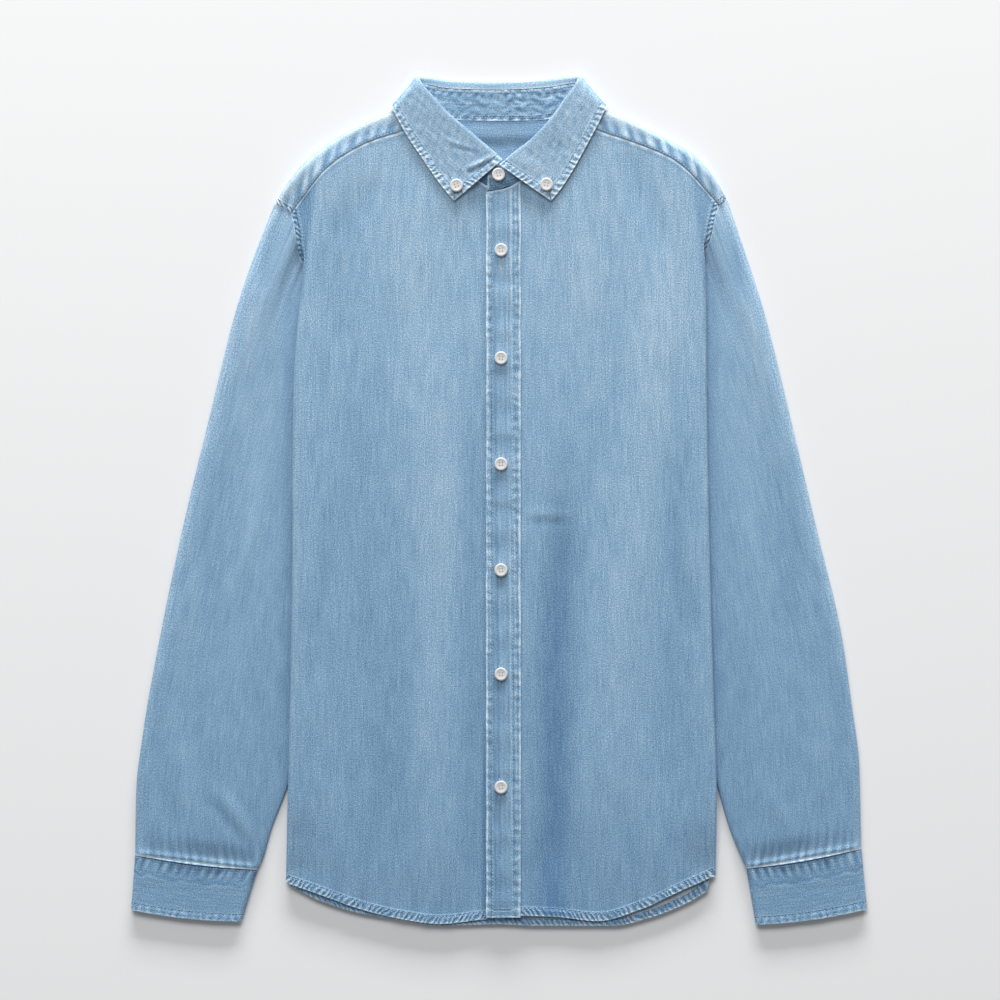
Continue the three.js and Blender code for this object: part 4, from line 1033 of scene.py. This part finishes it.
# ---- The buttons: off-white moulded discs with a raised rim and four holes, sewn on with pale thread.
PEARL = plain("button_pearl", (0.70, 0.69, 0.68), 0.42)
THREAD_WHITE = plain("button_thread_white", (0.62, 0.60, 0.57), 0.85)
profile = ((0, 0), (5.2, 0), (5.75, 0.35), (6, 1.1), (6, 1.8), (5.8, 2.35), (5.3, 2.6), (4.6, 2.6),
           (4.0, 2.5), (3.5, 2.38), (2.6, 2.32), (0, 2.3))
turns = np.linspace(0, 2 * np.pi, 48, endpoint=False)
vertices = [(r * math.cos(a), r * math.sin(a), z) for r, z in profile[1:-1] for a in turns]
vertices += [(0, 0, 0), (0, 0, profile[-1][1])]
rings, count = len(profile) - 2, len(turns)
around = [(j, (j + 1) % count) for j in range(count)]
faces = [(i * count + j, i * count + k, (i + 1) * count + k, (i + 1) * count + j)
         for i in range(rings - 1) for j, k in around]
faces += [(rings * count, k, j) for j, k in around]
faces += [(rings * count + 1, (rings - 1) * count + j, (rings - 1) * count + k) for j, k in around]
disc_mesh = bpy.data.meshes.new("button_disc")
disc_mesh.from_pydata(vertices, [], faces)
disc = bpy.data.objects.new("button_disc", disc_mesh)
scene.collection.objects.link(disc)
HOLE_AT, HOLE_RADIUS, HOLE_SIDES = 1.35, 0.52, 12
HOLES = ((HOLE_AT, HOLE_AT), (-HOLE_AT, HOLE_AT), (-HOLE_AT, -HOLE_AT), (HOLE_AT, -HOLE_AT))
drill_mesh = bpy.data.meshes.new("drill")
round_hole = [(HOLE_RADIUS * math.cos(a), HOLE_RADIUS * math.sin(a))
              for a in np.linspace(0, 2 * np.pi, HOLE_SIDES, endpoint=False)]
points = [(hx + a, hy + b, z) for hx, hy in HOLES for z in (-1, 4) for a, b in round_hole]
faces = []
for hole in range(4):
    low = hole * 2 * HOLE_SIDES
    top = low + HOLE_SIDES
    for j in range(HOLE_SIDES):
        k = (j + 1) % HOLE_SIDES
        faces.append((low + j, low + k, top + k, top + j))
    faces += [tuple(range(low, top))[::-1], tuple(range(top, top + HOLE_SIDES))]
drill_mesh.from_pydata(points, [], faces)
drill = bpy.data.objects.new("drill", drill_mesh)
scene.collection.objects.link(drill)
cut = disc.modifiers.new("holes", "BOOLEAN")
cut.operation = "DIFFERENCE"
cut.object = drill
cut.solver = "EXACT"
depsgraph = bpy.context.evaluated_depsgraph_get()
drilled = bpy.data.meshes.new_from_object(disc.evaluated_get(depsgraph))
for used in (disc, drill):
    bpy.data.objects.remove(used)
drilled.polygons.foreach_set("use_smooth", np.ones(len(drilled.polygons), bool))
drilled.set_sharp_from_angle(angle=math.radians(40))
drilled.materials.clear()
drilled.materials.append(PEARL)

BUTTON_PLACES = [("button_stand", -0.9, 299.9, 11.2, 8), ("button_collar_right", -39.6, 289.8, 11.9, 20),
                 ("button_collar_left", 43.2, 290.7, 11.9, -14)]
for number, y in enumerate((230.5, 131.1, 33.6, -63.9, -159.6, -263.6)):
    seat = float(front_height(SIDES["left"], 1.4, y)) + PLY + 0.25 + CLOTH / 2 + 0.3
    BUTTON_PLACES.append((f"button_front_{number + 1}", 1.4, y, seat, (6, -9, 3, 11, -5, 8)[number]))
base = np.array([v.co[:] for v in drilled.vertices])
for name, x, y, seat, twist in BUTTON_PLACES:
    mesh = drilled.copy()
    mesh.name = name + "_disc"
    a = math.radians(twist)
    turned = base @ np.array([[math.cos(a), math.sin(a), 0], [-math.sin(a), math.cos(a), 0], [0, 0, 1]])
    spot = (turned + [x, y, seat]) * 0.001
    mesh.vertices.foreach_set("co", spot.astype(np.float32).ravel())
    mesh.update()
    place(name + "_disc", mesh, name, "button")


# ---- The sewing: pale blue cotton thread, a stitch every three millimetres or so, along every topstitched
# edge. One row of stitches is one small stitch repeated along a line laid just above the cloth.
THREAD = plain("sewing_thread", (0.50, 0.64, 0.76), 0.85)
sewing = bpy.data.node_groups.new("stitch_line", "GeometryNodeTree")
sewing.interface.new_socket("Line", in_out="INPUT", socket_type="NodeSocketGeometry")
sockets = {}
for name, kind in (("Spacing", "Float"), ("Size", "Vector"), ("Thread", "Material")):
    socket = sewing.interface.new_socket(name, in_out="INPUT", socket_type=f"NodeSocket{kind}")
    sockets[name] = socket.identifier
sewing.interface.new_socket("Stitches", in_out="OUTPUT", socket_type="NodeSocketGeometry")
start = sewing.nodes.new("NodeGroupInput")
curve = sewing.nodes.new("GeometryNodeMeshToCurve")
spread = sewing.nodes.new("GeometryNodeResampleCurve")
spread.mode = "LENGTH"
ball = sewing.nodes.new("GeometryNodeMeshUVSphere")
ball.inputs["Segments"].default_value = 6
ball.inputs["Rings"].default_value = 4
tangent = sewing.nodes.new("GeometryNodeInputTangent")
align = sewing.nodes.new("FunctionNodeAlignRotationToVector")
align.axis = "X"
copies = sewing.nodes.new("GeometryNodeInstanceOnPoints")
real = sewing.nodes.new("GeometryNodeRealizeInstances")
dye = sewing.nodes.new("GeometryNodeSetMaterial")
end = sewing.nodes.new("NodeGroupOutput")
for source, sink in (
    (start.outputs["Line"], curve.inputs["Mesh"]),
    (curve.outputs["Curve"], spread.inputs["Curve"]),
    (start.outputs["Spacing"], spread.inputs["Length"]),
    (spread.outputs["Curve"], copies.inputs["Points"]),
    (ball.outputs["Mesh"], copies.inputs["Instance"]),
    (tangent.outputs["Tangent"], align.inputs["Vector"]),
    (align.outputs["Rotation"], copies.inputs["Rotation"]),
    (start.outputs["Size"], copies.inputs["Scale"]),
    (copies.outputs["Instances"], real.inputs["Geometry"]),
    (real.outputs["Geometry"], dye.inputs["Geometry"]),
    (start.outputs["Thread"], dye.inputs["Material"]),
    (dye.outputs["Geometry"], end.inputs["Stitches"]),
):
    sewing.links.new(source, sink)


def stitches(name, lines, spacing=3.1, size=(1.15, 0.27, 0.22), thread=THREAD, slot="denim"):
    points, edges = [], []
    for line in lines:
        edges += [(len(points) + n, len(points) + n + 1) for n in range(len(line) - 1)]
        points += [tuple(p * 0.001) for p in line]
    mesh = bpy.data.meshes.new(name + "_line")
    mesh.from_pydata(points, edges, [])
    line = bpy.data.objects.new(name + "_line", mesh)
    scene.collection.objects.link(line)
    sewn = line.modifiers.new("sewn", "NODES")
    sewn.node_group = sewing
    sewn[sockets["Spacing"]] = spacing * 0.001
    sewn[sockets["Size"]] = tuple(s * 0.001 for s in size)
    sewn[sockets["Thread"]] = thread
    made = bpy.data.meshes.new_from_object(line.evaluated_get(bpy.context.evaluated_depsgraph_get()))
    bpy.data.objects.remove(line)
    made.name = name
    made.polygons.foreach_set("use_smooth", np.ones(len(made.polygons), bool))
    return place(name, made, slot=slot)


def level_line(middle, measure, at, keep=None):
    """Points just above the cloth where a measure over it first reaches a value in each column."""
    face = normals(middle)
    over = middle + face * np.where(face[..., 2:] < 0, -1, 1) * (CLOTH / 2 + 0.12)
    line = []
    for j in range(middle.shape[1]):
        values = measure[:, j]
        found = np.nonzero((values[:-1] - at) * (values[1:] - at) <= 0)[0]
        if len(found) and (keep is None or keep[found[0], j]):
            i = found[0]
            share = (at - values[i]) / (values[i + 1] - values[i] + 1e-9)
            line.append(lerp(over[i, j], over[i + 1, j], share))
    return line


def across_line(middle, measure, at, keep=None):
    keep = None if keep is None else keep.T
    return level_line(middle.swapaxes(0, 1), measure.T, at, keep)


stitches("hem_stitches", [level_line(right_middle[:40, :84], right_hem[:40, :84], 6.3),
                          level_line(left_middle[:40, :84], left_hem[:40, :84], 6.3),
                          level_line(back_middle[:40], back_to_hem[:40], 6.3)])
tops = [(right_middle, right_armhole), (left_middle, left_armhole)]
stitches("armhole_stitches", [across_line(grid[-36:, 60:], away[-36:, 60:], 5.6) for grid, away in tops])
yoke_lines = []
for half in (slice(None, 165), slice(165, None)):
    outside_neck = np.abs(yoke_middle[half, :, 0]) > 80
    yoke_lines.append(across_line(yoke_middle[half], yoke_seam_distance[half], 1.7, outside_neck))
stitches("yoke_stitches", yoke_lines)
stitches("placket_stitches", [across_line(band_middle, band_from_left, LEFT_SEWING),
                              across_line(band_middle, band_from_right, RIGHT_SEWING)])
stitches("cuff_stitches", [level_line(grid, cuff_down, at) for grid in (right_cuff_top, left_cuff_top)
                           for at in CUFF_SEWING])
stitches("stand_stitches", [across_line(stand_middle, stand_high, STAND_SEWING),
                            across_line(stand_middle, stand_down, 1.9)])
front_part = leaf_middle[..., 2] > 5
beyond_point = front_part & (leaf_to_point > COLLAR_SEWING)
collar_lines = [across_line(leaf_middle, leaf_to_edge, COLLAR_SEWING, beyond_point)]
for half in (slice(None, 70), slice(None, -71, -1)):
    middle, point, rim = (a[half, 14:] for a in (leaf_middle, leaf_to_point, leaf_to_edge))
    collar_lines.append(level_line(middle, point, COLLAR_SEWING, rim > COLLAR_SEWING))
stitches("collar_stitches", collar_lines)


# ---- The buttonholes: close zigzag stitches either side of the slit, with a dark stripe of painted shadow down the slit itself. They stand upright down the
# band, lie level on the stand and slant with the collar's points; little shows beyond the buttons.
# The slit is drawn as a dark stripe of painted shadow, not cut.
SLIT_SHADOW = plain("slit_shadow", (0.03, 0.05, 0.09), 0.9)
HOLE_LENGTH = 8.0
rims, slit_shadows = [], []
for name, x, y, seat, _ in BUTTON_PLACES:
    lean = {"button_stand": 25, "button_collar_right": 130, "button_collar_left": 50}.get(name, 90)
    a = math.radians(lean)
    way, side = np.array([math.cos(a), math.sin(a), 0]), np.array([-math.sin(a), math.cos(a), 0])
    centre = np.array([x, y, seat - 0.15])
    for hand in (-1, 1):
        for step in np.linspace(-HOLE_LENGTH, HOLE_LENGTH, 34):
            middle = centre + way * step + side * hand * 0.75
            rims.append([middle - side * 0.5, middle + side * 0.5])
    slit_shadows.append([centre + way * -HOLE_LENGTH, centre + way * HOLE_LENGTH])
stitches("buttonhole_stitches", rims, 1.0, (0.5, 0.24, 0.25))
stitches("buttonhole_slit_shadows", slit_shadows, 1.0, (0.9, 0.5, 0.25), SLIT_SHADOW)
sewn_on = []
for name, x, y, seat, twist in BUTTON_PLACES:
    a = math.radians(twist)
    for hand in (-HOLE_AT, HOLE_AT):
        sewn_on.append([np.array([x + math.cos(a) * s - math.sin(a) * hand,
                                  y + math.sin(a) * s + math.cos(a) * hand, seat + 1.95])
                        for s in (-0.05, 0.05)])
stitches("button_threads", sewn_on, 1.0, (1.4, 0.34, 0.3), THREAD_WHITE, "button")
